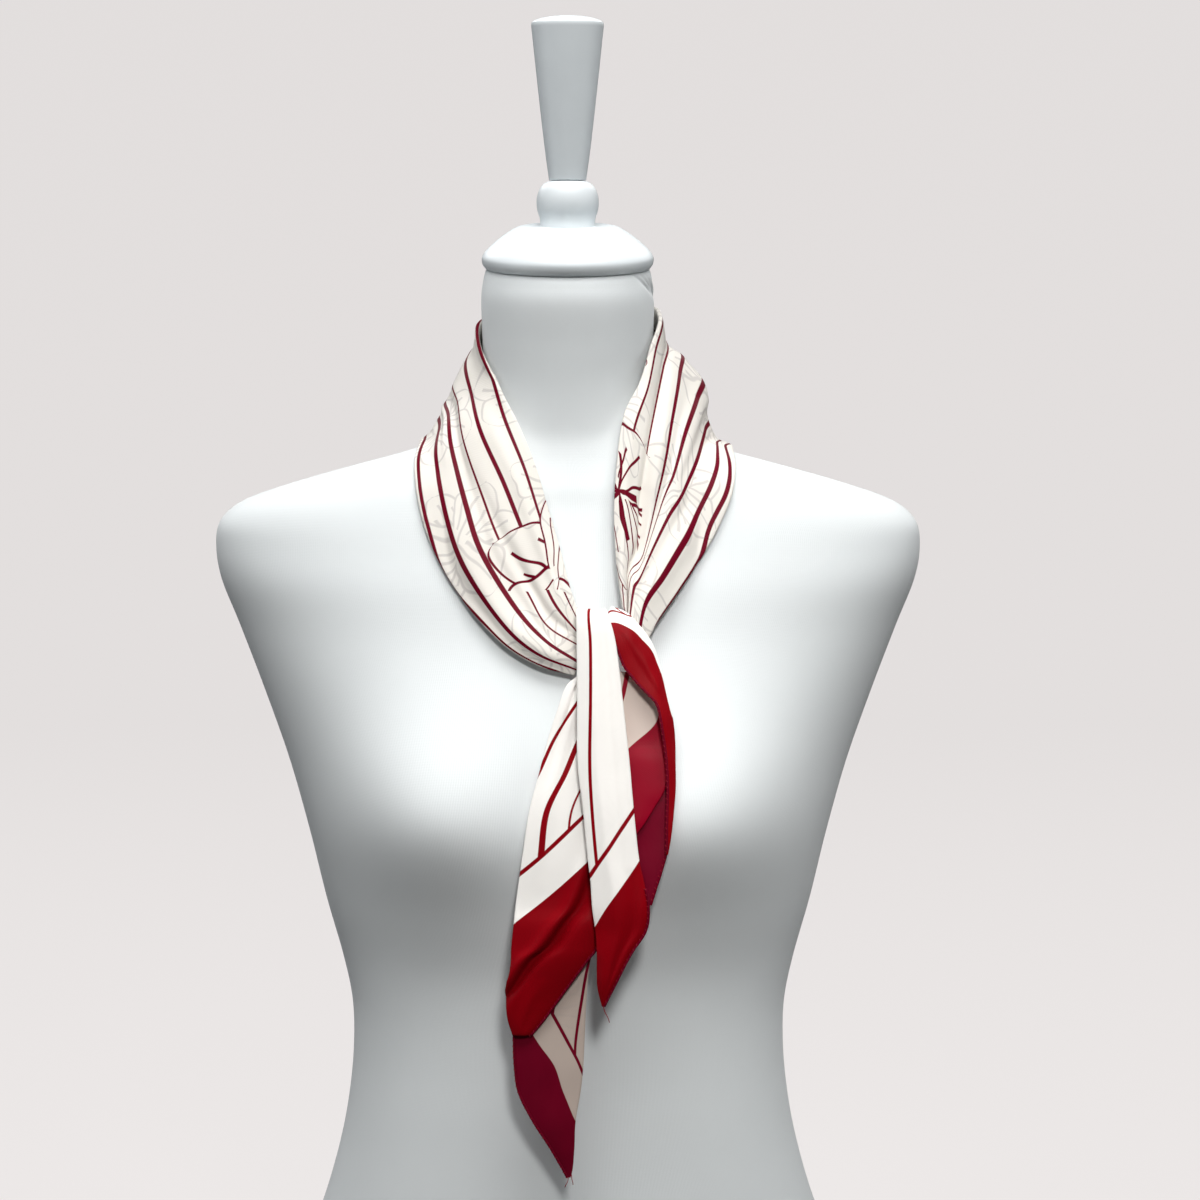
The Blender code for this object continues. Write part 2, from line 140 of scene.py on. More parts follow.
def facing_normals(grid: np.ndarray, row: int, column: int, way: tuple) -> np.ndarray:
    """A grid's unit normals, all signed to suit one of them.

    Args:
        grid: The points.
        row: The row of the normal that decides the sign.
        column: Its column.
        way: The direction that it has to point.
    """
    normal = grid_normals(grid)
    return normal if np.dot(normal[row, column], way) > 0 else -normal


def bump(value: np.ndarray, width: float) -> np.ndarray:
    """A soft rounded bump: one at zero, fading over `width`."""
    return np.exp(-((value / width) ** 2))


def mesh_object(name: str, verts: np.ndarray, faces: Sequence,
                uv: np.ndarray | None = None) -> bpy.types.Object:
    """Makes a smooth-shaded mesh object at the origin.

    Args:
        name: The piece's name.
        verts: Points in metres.
        faces: Tuples of point numbers.
        uv: A flat place for each point, or None.

    Returns:
        The object, linked to the scene.
    """
    mesh = bpy.data.meshes.new(name)
    mesh.from_pydata([tuple(v) for v in verts], [], [tuple(f) for f in faces])
    mesh.shade_smooth()
    if uv is not None:
        layer = mesh.uv_layers.new(name="flat")
        corners = np.empty(len(mesh.loops), dtype=np.int32)
        mesh.loops.foreach_get("vertex_index", corners)
        layer.data.foreach_set("uv", uv[corners].astype(np.float32).ravel())
    obj = bpy.data.objects.new(name, mesh)
    bpy.context.scene.collection.objects.link(obj)
    return obj


def ring_faces(rows: int, count: int) -> list:
    """Faces between rings of points, with one face closing each end.

    Args:
        rows: How many rings there are.
        count: How many points each ring has.
    """
    faces = []
    for i in range(rows - 1):
        for j in range(count):
            k = (j + 1) % count
            faces.append((i * count + j, i * count + k, (i + 1) * count + k, (i + 1) * count + j))
    faces.append(tuple(reversed(range(count))))
    faces.append(tuple(range((rows - 1) * count, rows * count)))
    return faces


def outward(obj: bpy.types.Object) -> None:
    """Turns a closed mesh's faces to point out."""
    bm = bmesh.new()
    bm.from_mesh(obj.data)
    bmesh.ops.recalc_face_normals(bm, faces=bm.faces)
    bm.to_mesh(obj.data)
    bm.free()


def place(obj: bpy.types.Object, slot: str, *nodes: str) -> None:
    """Rides a piece on the body and hides the solids that it stands for.

    Args:
        obj: The piece.
        slot: The name of its finish; not used.
        nodes: The solids that it replaces, if any.
    """
    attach(obj, BODY)
    if nodes:
        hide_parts(*nodes)
    log.info("%s: %d faces", obj.name, len(obj.data.polygons))


# --------------------------------------------------------------------------------------------
# Shader building
# --------------------------------------------------------------------------------------------

class Graph:
    """Places and joins shader nodes in one node tree."""

    def __init__(self, tree: bpy.types.NodeTree) -> None:
        """Keeps the tree that the nodes go in."""
        self.tree = tree

    def node(self, kind: str, **settings: object) -> bpy.types.Node:
        """A new node with its settings."""
        made = self.tree.nodes.new(kind)
        for key, value in settings.items():
            setattr(made, key, value)
        return made

    def feed(self, socket: bpy.types.NodeSocket, value: object) -> None:
        """Links an output to a socket, or sets the socket's own value.

        Args:
            socket: The input to feed.
            value: An output, a constant, or None to leave the input as it is.
        """
        if isinstance(value, bpy.types.NodeSocket):
            self.tree.links.new(value, socket)
        elif value is not None:
            socket.default_value = value

    def math(self, operation: str, a: object, b: object = None, c: object = None) -> bpy.types.NodeSocket:
        """The result of one Math node."""
        made = self.node("ShaderNodeMath", operation=operation)
        for socket, value in zip(made.inputs, (a, b, c)):
            self.feed(socket, value)
        return made.outputs[0]

    def ramp(self, value: object, low: float, high: float,
             start: float = 0.0, end: float = 1.0) -> bpy.types.NodeSocket:
        """A value taken evenly between two ends, and held beyond them.

        Args:
            value: The input.
            low: Where the result is `start`.
            high: Where the result is `end`.
            start: The result at and before `low`.
            end: The result at and past `high`.
        """
        made = self.node("ShaderNodeMapRange", clamp=True)
        for socket, given in zip(made.inputs, (value, low, high, start, end)):
            self.feed(socket, given)
        return made.outputs[0]

    def mix(self, share: object, first: object, second: object) -> bpy.types.NodeSocket:
        """A colour between two.

        Args:
            share: How much of the second colour there is, from 0 to 1.
            first: The first colour.
            second: The second colour.
        """
        made = self.node("ShaderNodeMix", data_type="RGBA")
        self.feed(made.inputs[0], share)
        self.feed(made.inputs[6], first)
        self.feed(made.inputs[7], second)
        return made.outputs[2]

    def noise(self, vector: object, scale: float, detail: float = 2.0,
              roughness: float = 0.5) -> bpy.types.NodeSocket:
        """The value of a noise texture."""
        made = self.node("ShaderNodeTexNoise")
        self.feed(made.inputs["Vector"], vector)
        made.inputs["Scale"].default_value = scale
        made.inputs["Detail"].default_value = detail
        made.inputs["Roughness"].default_value = roughness
        return made.outputs[0]

    def group(self, tree: bpy.types.NodeTree, **inputs: object) -> bpy.types.Node:
        """A node group placed with its inputs, named with underscores for spaces."""
        made = self.node("ShaderNodeGroup")
        made.node_tree = tree
        for key, value in inputs.items():
            self.feed(made.inputs[key.replace("_", " ")], value)
        return made

    def separate(self, vector: object) -> list:
        """The three parts of a vector."""
        made = self.node("ShaderNodeSeparateXYZ")
        self.feed(made.inputs[0], vector)
        return list(made.outputs)

    def combine(self, x: object, y: object, z: object = 0.0) -> bpy.types.NodeSocket:
        """A vector of three parts."""
        made = self.node("ShaderNodeCombineXYZ")
        for socket, value in zip(made.inputs, (x, y, z)):
            self.feed(socket, value)
        return made.outputs[0]


def new_group(name: str, inputs: Sequence, outputs: Sequence) -> tuple:
    """Starts a shader node group.

    Args:
        name: The group's name.
        inputs: Pairs of socket name and kind, with a default value third where it has one.
        outputs: Pairs of socket name and kind.

    Returns:
        The tree, its graph, and its input and output nodes.
    """
    tree = bpy.data.node_groups.new(name, "ShaderNodeTree")
    for way, sockets in (("INPUT", inputs), ("OUTPUT", outputs)):
        for label, kind, *default in sockets:
            socket = tree.interface.new_socket(label, in_out=way, socket_type="NodeSocket" + kind)
            if default:
                socket.default_value = default[0]
    graph = Graph(tree)
    return tree, graph, graph.node("NodeGroupInput"), graph.node("NodeGroupOutput")


# --------------------------------------------------------------------------------------------
# The print on the silk
# --------------------------------------------------------------------------------------------

HALF_DIAGONAL = 636.4
BORDER = 32.0
BORDER_LINE = 52.0
BORDER_LINE_WIDTH = 2.4
INK_SOFTNESS = 0.16


class Stripe(NamedTuple):
    """One printed stripe: its distance from the diagonal, and its width at each end, in millimetres."""

    across: float
    width: float
    far_width: float


STRIPES = [
    Stripe(10, 2.6, 2.4), Stripe(33, 2.4, 0), Stripe(50, 3.7, 0), Stripe(65, 1.4, 0), Stripe(70, 0, 2.9),
    Stripe(82, 0, 3.1), Stripe(85, 1.9, 0), Stripe(96, 2.8, 2.3), Stripe(108, 2.9, 2.2),
    Stripe(119, 1.3, 2.5), Stripe(132, 2.4, 1.5), Stripe(147, 2.0, 1.9), Stripe(166, 2.2, 2.2),
    Stripe(180, 1.4, 1.4),
]


class FlowerPlace(NamedTuple):
    """One printed flower: the flat place of its middle, its radius and how far it is turned.

    It is cut off where the next motif covers it: past `cut_at` of its radius in the way `cut_way`.
    """

    along: float
    across: float
    radius: float
    turn: float
    cut_way: float = 0.0
    cut_at: float = 9.0
    stamens: float = 0.0


FLOWERS = [
    FlowerPlace(-266, 149, 60, 92, 222, 0.16), FlowerPlace(246, 157, 48, 30, 270, 0.58, 1.0),
    FlowerPlace(150, 196, 44, 75),
    FlowerPlace(-120, 205, 46, 200), FlowerPlace(20, 178, 44, 310), FlowerPlace(-395, 150, 40, 20),
    FlowerPlace(-60, -110, 46, 20), FlowerPlace(330, 210, 44, 150),
]


@dataclass(frozen=True)
class LineFlower:
    """A lily drawn in line: two whorls of three petals, with ribs, veins and stamens.

    It is drawn in its own units, with petals one long.
    """

    front_width: float = 0.84
    rear_width: float = 0.62
    hidden: float = 4.0
    edge: float = 0.004

    def petal(self, g: Graph, x: object, y: object, width: float) -> tuple:
        """A petal's distance from its outline, and its half width, along its own axis."""
        inside = g.ramp(x, 0.0, 1.0)
        rise = g.math("POWER", inside, 0.62)
        fall = g.math("POWER", g.math("SUBTRACT", 1.0, inside), 0.52)
        wave = g.math("MULTIPLY_ADD", g.math("SINE", g.math("MULTIPLY", x, 13.0)), 0.06, 1.0)
        half = g.math("MULTIPLY", g.math("MULTIPLY", g.math("MULTIPLY", rise, fall), wave), width)
        past = g.math("MAXIMUM", g.math("SUBTRACT", x, 1.0), 0.0)
        gap = g.math("ADD", g.math("SUBTRACT", g.math("ABSOLUTE", y), half), past)
        return gap, half

    def around(self, g: Graph, reach: object, angle: object, offset: float, span: float) -> tuple:
        """Places about the nearest of several axes spaced evenly round the flower."""
        bent = g.math("WRAP", g.math("ADD", angle, offset), span / 2, -span / 2)
        return (g.math("MULTIPLY", reach, g.math("COSINE", bent)),
                g.math("MULTIPLY", reach, g.math("SINE", bent)))

    def build(self) -> bpy.types.NodeTree:
        """The node group.

        Returns:
            A group from a place in the flower's own units, and its turn, to the distances from
            the nearest ink line and from the flower's outline, in the same units.
        """
        tree, g, start, end = new_group(
            "Line flower", [("Place", "Vector"), ("Turn", "Float"), ("Stamens", "Float")],
            [("Ink", "Float"), ("Outline", "Float")])
        u, v, _ = g.separate(start.outputs["Place"])
        wobble = g.node("ShaderNodeTexNoise")
        wobble.inputs["Scale"].default_value = 1.3
        wobble.inputs["Detail"].default_value = 1.0
        g.feed(wobble.inputs["Vector"], start.outputs["Place"])
        shift_x, shift_y, _ = g.separate(wobble.outputs["Color"])
        u = g.math("MULTIPLY_ADD", g.math("SUBTRACT", shift_x, 0.5), 0.45, u)
        v = g.math("MULTIPLY_ADD", g.math("SUBTRACT", shift_y, 0.5), 0.45, v)
        reach = g.math("SQRT", g.math("ADD", g.math("MULTIPLY", u, u), g.math("MULTIPLY", v, v)))
        angle = g.math("ADD", g.math("ARCTAN2", v, u), start.outputs["Turn"])
        third = math.tau / 3
        x1, y1 = self.around(g, reach, angle, 0.0, third)
        x2, y2 = self.around(g, reach, angle, third / 2, third)
        front, half1 = self.petal(g, x1, y1, self.front_width)
        rear, half2 = self.petal(g, x2, y2, self.rear_width)
        outline = g.math("MINIMUM", front, rear)
        in_front = g.ramp(front, -self.edge, self.edge, self.hidden, 0.0)
        out_front = g.ramp(front, -self.edge, self.edge, 0.0, self.hidden)
        ink = g.math("ABSOLUTE", front)
        ink = g.math("MINIMUM", ink, g.math("ADD", g.math("ABSOLUTE", rear), in_front))
        for x, y, half, covered in ((x1, y1, half1, out_front), (x2, y2, half2, in_front)):
            vein_end = g.math("ADD", g.ramp(x, 0.60, 0.64, 0.0, self.hidden),
                              g.ramp(x, 0.10, 0.12, self.hidden, 0.0))
            rib = g.math("ABSOLUTE", g.math("MULTIPLY_ADD", half, 0.10, y))
            vein = g.math("ABSOLUTE", g.math("SUBTRACT", g.math("ABSOLUTE", y),
                                             g.math("MULTIPLY", half, 0.52)))
            vein = g.math("ADD", vein, vein_end)
            rib = g.math("ADD", rib, g.ramp(x, 0.80, 0.84, 0.0, self.hidden))
            ink = g.math("MINIMUM", ink, g.math("ADD", g.math("MINIMUM", rib, vein), covered))
        x3, y3 = self.around(g, reach, angle, 0.3, math.tau / 5)
        sway = g.math("MULTIPLY", g.math("SINE", g.math("MULTIPLY", x3, 5.0)), 0.07)
        stamen = g.math("ABSOLUTE", g.math("SUBTRACT", y3, sway))
        stamen = g.math("ADD", g.math("SUBTRACT", stamen, 0.018), g.ramp(x3, 0.46, 0.48, 0.0, self.hidden))
        left_out = g.math("MULTIPLY", g.math("SUBTRACT", 1.0, start.outputs["Stamens"]), self.hidden)
        stamen = g.math("ADD", stamen, left_out)
        g.feed(end.inputs["Ink"], g.math("MINIMUM", ink, stamen))
        g.feed(end.inputs["Outline"], outline)
        return tree


@dataclass(frozen=True)
class FlowerGround:
    """Where the line flowers stand: the crimson ones one by one, the pale ones in a repeat."""

    line: float = 1.6
    pale_line: float = 1.5
    cell_along: float = 82.0
    cell_across: float = 66.0
    pale_radius: float = 33.0

    def placed(self, g: Graph, flower: bpy.types.NodeTree, along: object, across: object) -> tuple:
        """The nearest crimson flower's distances from ink and outline, in metres."""
        best: object = 1e6
        chosen: object = (0.0, 0.0, 0.0)
        facts: object = (1.0, 0.0, 0.0)
        cut: object = (1.0, 0.0, 9.0)
        for spot in FLOWERS:
            x = g.math("DIVIDE", g.math("SUBTRACT", along, spot.along * MM), spot.radius * MM)
            y = g.math("DIVIDE", g.math("SUBTRACT", across, spot.across * MM), spot.radius * MM)
            far = g.math("ADD", g.math("MULTIPLY", x, x), g.math("MULTIPLY", y, y))
            nearer = g.math("LESS_THAN", far, best)
            best = g.math("MINIMUM", far, best)
            pairs = []
            way = math.radians(spot.cut_way)
            for old, new in ((chosen, g.combine(x, y)),
                             (facts, (spot.radius * MM, math.radians(spot.turn), spot.stamens)),
                             (cut, (math.cos(way), math.sin(way), spot.cut_at))):
                pick = g.node("ShaderNodeMix", data_type="VECTOR")
                g.feed(pick.inputs[0], nearer)
                g.feed(pick.inputs[4], old)
                g.feed(pick.inputs[5], new)
                pairs.append(pick.outputs[1])
            chosen, facts, cut = pairs
        radius, turn, stamens = g.separate(facts)
        drawn = g.group(flower, Place=chosen, Turn=turn, Stamens=stamens)
        x, y, _ = g.separate(chosen)
        way_x, way_y, cut_at = g.separate(cut)
        past = g.math("ADD", g.math("MULTIPLY", x, way_x), g.math("MULTIPLY", y, way_y))
        away = g.ramp(g.math("SUBTRACT", past, cut_at), 0.0, 0.01, 0.0, 1.0)
        return (g.math("ADD", g.math("MULTIPLY", drawn.outputs["Ink"], radius), away),
                g.math("ADD", g.math("MULTIPLY", drawn.outputs["Outline"], radius), away))

    def repeated(self, g: Graph, flower: bpy.types.NodeTree, along: object, across: object) -> object:
        """The pale repeat's distance from its ink, in metres."""
        column = g.math("DIVIDE", along, self.cell_along * MM)
        row = g.math("DIVIDE", across, self.cell_across * MM)
        pick = g.node("ShaderNodeTexWhiteNoise", noise_dimensions="2D")
        g.feed(pick.inputs["Vector"], g.combine(g.math("FLOOR", column), g.math("FLOOR", row)))
        x = g.math("MULTIPLY", g.math("SUBTRACT", g.math("FRACT", column), 0.5),
                   self.cell_along / self.pale_radius)
        y = g.math("MULTIPLY", g.math("SUBTRACT", g.math("FRACT", row), 0.5),
                   self.cell_across / self.pale_radius)
        turn = g.math("MULTIPLY", pick.outputs["Value"], math.tau)
        drawn = g.group(flower, Place=g.combine(x, y), Turn=turn)
        return g.math("MULTIPLY", drawn.outputs["Ink"], self.pale_radius * MM)


@dataclass(frozen=True)
class ScarfPrint:
    """The square's printed design: border, edge line, stripes and line flowers."""

    flowers: FlowerGround = FlowerGround()
    flower: LineFlower = LineFlower()

    def build(self) -> bpy.types.NodeTree:
        """The node group that turns a flat place into ink.

        Returns:
            A group with the outputs Ink, the share of crimson, and Show, the share of pale line
            that shows through from the layer below.
        """
        tree, g, start, end = new_group("Scarf print", [("Flat", "Vector")],
                                        [("Ink", "Float"), ("Show", "Float")])
        flower = self.flower.build()
        along, across, _ = g.separate(start.outputs[0])
        soft = INK_SOFTNESS * MM
        far = g.ramp(along, -0.1, 0.1)
        reach = g.math("ADD", g.math("ABSOLUTE", along), g.math("ABSOLUTE", across))
        edge = g.math("MULTIPLY", g.math("SUBTRACT", HALF_DIAGONAL * MM, reach), math.sqrt(0.5))
        nearest: object = 1.0
        side = g.math("ABSOLUTE", across)
        for stripe in STRIPES:
            off = g.math("ABSOLUTE", g.math("SUBTRACT", side, stripe.across * MM))
            near_half = (stripe.width or -1.0) * MM / 2
            far_half = (stripe.far_width or -1.0) * MM / 2
            half = g.math("MULTIPLY_ADD", far, far_half - near_half, near_half)
            nearest = g.math("MINIMUM", nearest, g.math("SUBTRACT", off, half))
        ink, outline = self.flowers.placed(g, flower, along, across)
        stripes = g.ramp(nearest, -soft, soft, 1.0, 0.0)
        clear = g.ramp(outline, 0.0, soft)
        lines = g.ramp(g.math("SUBTRACT", ink, self.flowers.line * MM / 2), -soft, soft, 1.0, 0.0)
        ground = g.ramp(edge, BORDER_LINE * MM, BORDER_LINE * MM + soft)
        figure = g.math("MULTIPLY", g.math("MAXIMUM", g.math("MULTIPLY", stripes, clear), lines), ground)
        border = g.ramp(edge, BORDER * MM - soft, BORDER * MM + soft, 1.0, 0.0)
        from_line = g.math("ABSOLUTE", g.math("SUBTRACT", edge, BORDER_LINE * MM))
        half_line = BORDER_LINE_WIDTH * MM / 2
        rule = g.ramp(from_line, half_line - soft, half_line + soft, 1.0, 0.0)
        g.feed(end.inputs["Ink"], g.math("MAXIMUM", g.math("MAXIMUM", figure, border), rule))
        pale = self.flowers.repeated(g, flower, along, across)
        show = g.ramp(g.math("SUBTRACT", pale, self.flowers.pale_line * MM / 2),
                      -2 * soft, 2 * soft, 1.0, 0.0)
        g.feed(end.inputs["Show"], g.math("MULTIPLY", show, ground))
        return tree


class Face(Enum):
    """Which face of the silk shows; some faces' tones hold painted light or shade."""

    # Its tone is painted shade: a darker copy of the same silk as the tails.
    BAND = "printed, in the band and the knot"
    # Its tone is painted light: a lighter copy of the same silk as the band.
    TAIL = "printed, on the tails"
    # The wrong side's duller, more purple print is its own; its darker beige cream is painted shade.
    WRONG = "wrong side"
    # Painted shade: the wrong side deep in a fold between two layers, its colours toned for the shade
    # there.
    INNER = "wrong side, deep between two layers"


class SilkTone(NamedTuple):
    """How strongly the layer below shows through, and the two colours of a face, some of which hold painted
    light or shade.
    """

    ghost: float
    cream: tuple
    crimson: tuple


SILK_TONES = {
    # Painted shade: the band's cream and crimson are a darker copy of the tails' silk.
    Face.BAND: SilkTone(0.36, (0.80, 0.765, 0.712), (0.145, 0.0, 0.012)),
    # Painted light: the tails' cream and crimson are a lighter copy of the band's silk.
    Face.TAIL: SilkTone(0.01, (0.93, 0.905, 0.87), (0.25, 0.0, 0.004)),
    # Wrong side: the duller, more purple print is its own, the darker beige cream is painted shade.
    Face.WRONG: SilkTone(0.08, (0.54, 0.445, 0.39), (0.165, 0.001, 0.015)),
    # Painted shade: the wrong side deep in a fold, its colours toned for the shade that falls there.
    Face.INNER: SilkTone(0.08, (0.68, 0.57, 0.51), (0.27, 0.0, 0.014)),
}


@dataclass(frozen=True)
class SilkTwill:
    """The cloth under the print: a fine diagonal rib, and slight creases from handling."""

    rib_scale: float = 420.0
    rib_depth: float = 0.06
    crease_scale: float = 46.0

    def build(self) -> bpy.types.NodeTree:
        """The node group that turns a flat place into the twill's own changes.

        Returns:
            A group with the outputs Cloud, Crease and Height.
        """
        tree, g, start, end = new_group("Silk twill", [("Flat", "Vector")],
                                        [("Cloud", "Float"), ("Crease", "Float"), ("Height", "Float")])
        flat = start.outputs[0]
        rib = g.node("ShaderNodeTexWave", wave_type="BANDS", bands_direction="DIAGONAL")
        g.feed(rib.inputs["Vector"], flat)
        rib.inputs["Scale"].default_value = self.rib_scale
        rib.inputs["Distortion"].default_value = 0.6
        crease = g.noise(flat, self.crease_scale, 4.0, 0.55)
        g.feed(end.inputs["Cloud"], g.noise(flat, 28.0, 3.0))
        g.feed(end.inputs["Crease"], crease)
        g.feed(end.inputs["Height"], g.math("MULTIPLY_ADD", rib.outputs[1], self.rib_depth, crease))
        return tree


@dataclass(frozen=True)
class SilkFinish:
    """Silk twill with its print, in the tone of one face, some tones holding painted light or shade."""

    name: str
    face: Face
    behind: tuple = (0.30, 0.27, 0.28, 1)

    def build(self, design: bpy.types.NodeTree, twill: bpy.types.NodeTree) -> bpy.types.Material:
        """The material.

        Args:
            design: The print's node group.
            twill: The cloth's node group.

        Returns:
            The material, reading the piece's own flat map.
        """
        tone = SILK_TONES[self.face]
        mat = bpy.data.materials.new(self.name)
        mat.use_nodes = True
        mat.node_tree.nodes.clear()
        g = Graph(mat.node_tree)
        flat = g.node("ShaderNodeUVMap", uv_map="flat").outputs[0]
        drawn = g.group(design, Flat=flat)
        cloth = g.group(twill, Flat=flat)
        cloud, crease = cloth.outputs["Cloud"], cloth.outputs["Crease"]
        pale = tuple(c * 0.965 for c in tone.cream)
        deep = tuple(c * 0.86 for c in tone.crimson)
        cream = g.mix(g.ramp(cloud, 0.35, 0.65), (*tone.cream, 1), (*pale, 1))
        cream = g.mix(g.math("MULTIPLY", drawn.outputs["Show"], tone.ghost), cream, self.behind)
        crimson = g.mix(g.ramp(cloud, 0.3, 0.7), (*tone.crimson, 1), (*deep, 1))
        relief = g.node("ShaderNodeBump")
        relief.inputs["Strength"].default_value = 0.35
        relief.inputs["Distance"].default_value = 0.0009
        g.feed(relief.inputs["Height"], cloth.outputs["Height"])
        shader = g.node("ShaderNodeBsdfPrincipled")
        g.feed(shader.inputs["Base Color"], g.mix(drawn.outputs["Ink"], cream, crimson))
        g.feed(shader.inputs["Roughness"], g.ramp(crease, 0.3, 0.7, 0.38, 0.50))
        g.feed(shader.inputs["Normal"], relief.outputs[0])
        shader.inputs["Specular IOR Level"].default_value = 0.07
        out = g.node("ShaderNodeOutputMaterial")
        g.feed(out.inputs[0], shader.outputs[0])
        return mat


@dataclass(frozen=True)
class JerseyFinish:
    """White cotton jersey stretched over the form: fine upright ribs and a matt face."""

    name: str = "white_jersey"
    colour: tuple = (0.80, 0.835, 0.845)
    rib_pitch: float = 0.0011

    def build(self) -> bpy.types.Material:
        """The material, reading the cover's own flat map."""
        mat = bpy.data.materials.new(self.name)
        mat.use_nodes = True
        mat.node_tree.nodes.clear()
        g = Graph(mat.node_tree)
        flat = g.node("ShaderNodeUVMap", uv_map="flat").outputs[0]
        across, up, _ = g.separate(flat)
        rib = g.math("SINE", g.math("MULTIPLY", across, math.tau / self.rib_pitch))
        loop = g.math("SINE", g.math("MULTIPLY", up, math.tau / self.rib_pitch * 1.3))
        knit = g.math("MULTIPLY_ADD", loop, 0.35, rib)
        cloud = g.noise(flat, 14.0, 4.0)
        height = g.math("MULTIPLY_ADD", cloud, 1.6, g.math("MULTIPLY", knit, 0.22))
        relief = g.node("ShaderNodeBump")
        relief.inputs["Strength"].default_value = 0.2
        relief.inputs["Distance"].default_value = 0.0006
        g.feed(relief.inputs["Height"], height)
        worn = tuple(c * 0.975 for c in self.colour)
        colour = g.mix(g.ramp(cloud, 0.3, 0.7), (*self.colour, 1), (*worn, 1))
        shader = g.node("ShaderNodeBsdfPrincipled")
        g.feed(shader.inputs["Base Color"], colour)
        g.feed(shader.inputs["Roughness"], g.ramp(cloud, 0.3, 0.7, 0.78, 0.9))
        g.feed(shader.inputs["Normal"], relief.outputs[0])
        shader.inputs["Specular IOR Level"].default_value = 0.25
        shader.inputs["Sheen Weight"].default_value = 0.15
        shader.inputs["Sheen Roughness"].default_value = 0.5
        out = g.node("ShaderNodeOutputMaterial")
        g.feed(out.inputs[0], shader.outputs[0])
        return mat


@dataclass(frozen=True)
class PaintFinish:
    """White satin paint on turned wood: a faint brushed grain under the paint and patches of rubbing."""

    name: str = "white_satin_paint"
    colour: tuple = (0.80, 0.85, 0.875)

    def build(self) -> bpy.types.Material:
        """The material, reading object coordinates."""
        mat = bpy.data.materials.new(self.name)
        mat.use_nodes = True
        mat.node_tree.nodes.clear()
        g = Graph(mat.node_tree)
        spot = g.node("ShaderNodeTexCoord").outputs["Object"]
        stretch = g.node("ShaderNodeMapping")
        g.feed(stretch.inputs["Vector"], spot)
        stretch.inputs["Scale"].default_value = (1.0, 1.0, 0.16)
        grain = g.noise(stretch.outputs[0], 420.0, 3.0)
        cloud = g.noise(spot, 30.0, 2.0)
        rubbed = tuple(c * 0.96 for c in self.colour)
        colour = g.mix(g.ramp(cloud, 0.35, 0.7), (*self.colour, 1), (*rubbed, 1))
        relief = g.node("ShaderNodeBump")
        relief.inputs["Strength"].default_value = 0.07
        relief.inputs["Distance"].default_value = 0.0004
        g.feed(relief.inputs["Height"], grain)
        shader = g.node("ShaderNodeBsdfPrincipled")
        g.feed(shader.inputs["Base Color"], colour)
        g.feed(shader.inputs["Roughness"], g.ramp(cloud, 0.3, 0.7, 0.38, 0.46))
        g.feed(shader.inputs["Normal"], relief.outputs[0])
        out = g.node("ShaderNodeOutputMaterial")
        g.feed(out.inputs[0], shader.outputs[0])
        return mat


@dataclass(frozen=True)
class ThreadFinish:
    """Crimson sewing thread with its twist."""

    name: str = "crimson_thread"
    colour: tuple = (0.36, 0.0, 0.014)

    def build(self) -> bpy.types.Material:
        """The material, reading object coordinates."""
        mat = bpy.data.materials.new(self.name)
        mat.use_nodes = True
        mat.node_tree.nodes.clear()
        g = Graph(mat.node_tree)
        spot = g.node("ShaderNodeTexCoord").outputs["Object"]
        twist = g.noise(spot, 1800.0, 1.0)
        dark = tuple(c * 0.6 for c in self.colour)
        shader = g.node("ShaderNodeBsdfPrincipled")
        g.feed(shader.inputs["Base Color"], g.mix(g.ramp(twist, 0.35, 0.65), (*dark, 1), (*self.colour, 1)))
        g.feed(shader.inputs["Roughness"], g.ramp(twist, 0.3, 0.7, 0.5, 0.7))
        out = g.node("ShaderNodeOutputMaterial")
        g.feed(out.inputs[0], shader.outputs[0])
        return mat


# --------------------------------------------------------------------------------------------
# The form
# --------------------------------------------------------------------------------------------

class FormSection(NamedTuple):
    """One level cut through the form: half width, and depth in front of and behind its middle."""

    z: float
    half_width: float
    middle_y: float
    front: float
    back: float
    squareness: float


FORM_SECTIONS = [
    FormSection(0, 166, 8, 101, 116, 2.2),
    FormSection(5, 169, 8, 104, 119, 2.2),
    FormSection(45, 171, 8, 106, 120, 2.2),
    FormSection(90, 167, 8, 105, 114, 2.2),
    FormSection(128, 156, 8, 102, 104, 2.2),
    FormSection(164, 143.5, 8, 98, 94, 2.2),
    FormSection(195, 135, 8, 94, 86, 2.2),
    FormSection(222, 130, 8, 91, 82, 2.2),
    FormSection(250, 127.3, 8, 88, 79, 2.2),
    FormSection(278, 127.8, 8, 87, 77, 2.2),
    FormSection(305, 133.1, 8, 89, 77, 2.2),
    FormSection(340, 142.7, 8, 98, 79, 2.2),
    FormSection(380, 152.2, 8, 106, 83, 2.2),
    FormSection(421, 163.5, 8, 105, 87, 2.2),
    FormSection(460, 177, 8, 99.5, 89, 2.2),
    FormSection(500, 192, 8, 88.5, 89, 2.25),
    FormSection(528, 203, 8, 81, 86, 2.3),
    FormSection(548, 206, 8, 74, 81, 2.3),
    FormSection(562, 203, 8, 69, 76, 2.3),
    FormSection(573, 190, 8, 65, 72, 2.3),
    FormSection(583, 162, 8, 62, 69, 2.3),
    FormSection(593, 127, 8, 58, 66, 2.25),
    FormSection(602, 94, 7, 54, 62, 2.2),
    FormSection(612, 68, 6, 51, 57, 2.1),
    FormSection(624, 54.5, 5, 50, 54, 2.05),
    FormSection(642, 49.5, 3, 49, 52, 2),
    FormSection(665, 49.5, 1, 49, 51, 2),
    FormSection(690, 50.2, 0, 50, 50.4, 2),
    FormSection(701.8, 48.9, 0, 48.7, 49, 2),
    FormSection(707.6, 47.4, 0, 47, 47.4, 2),
]


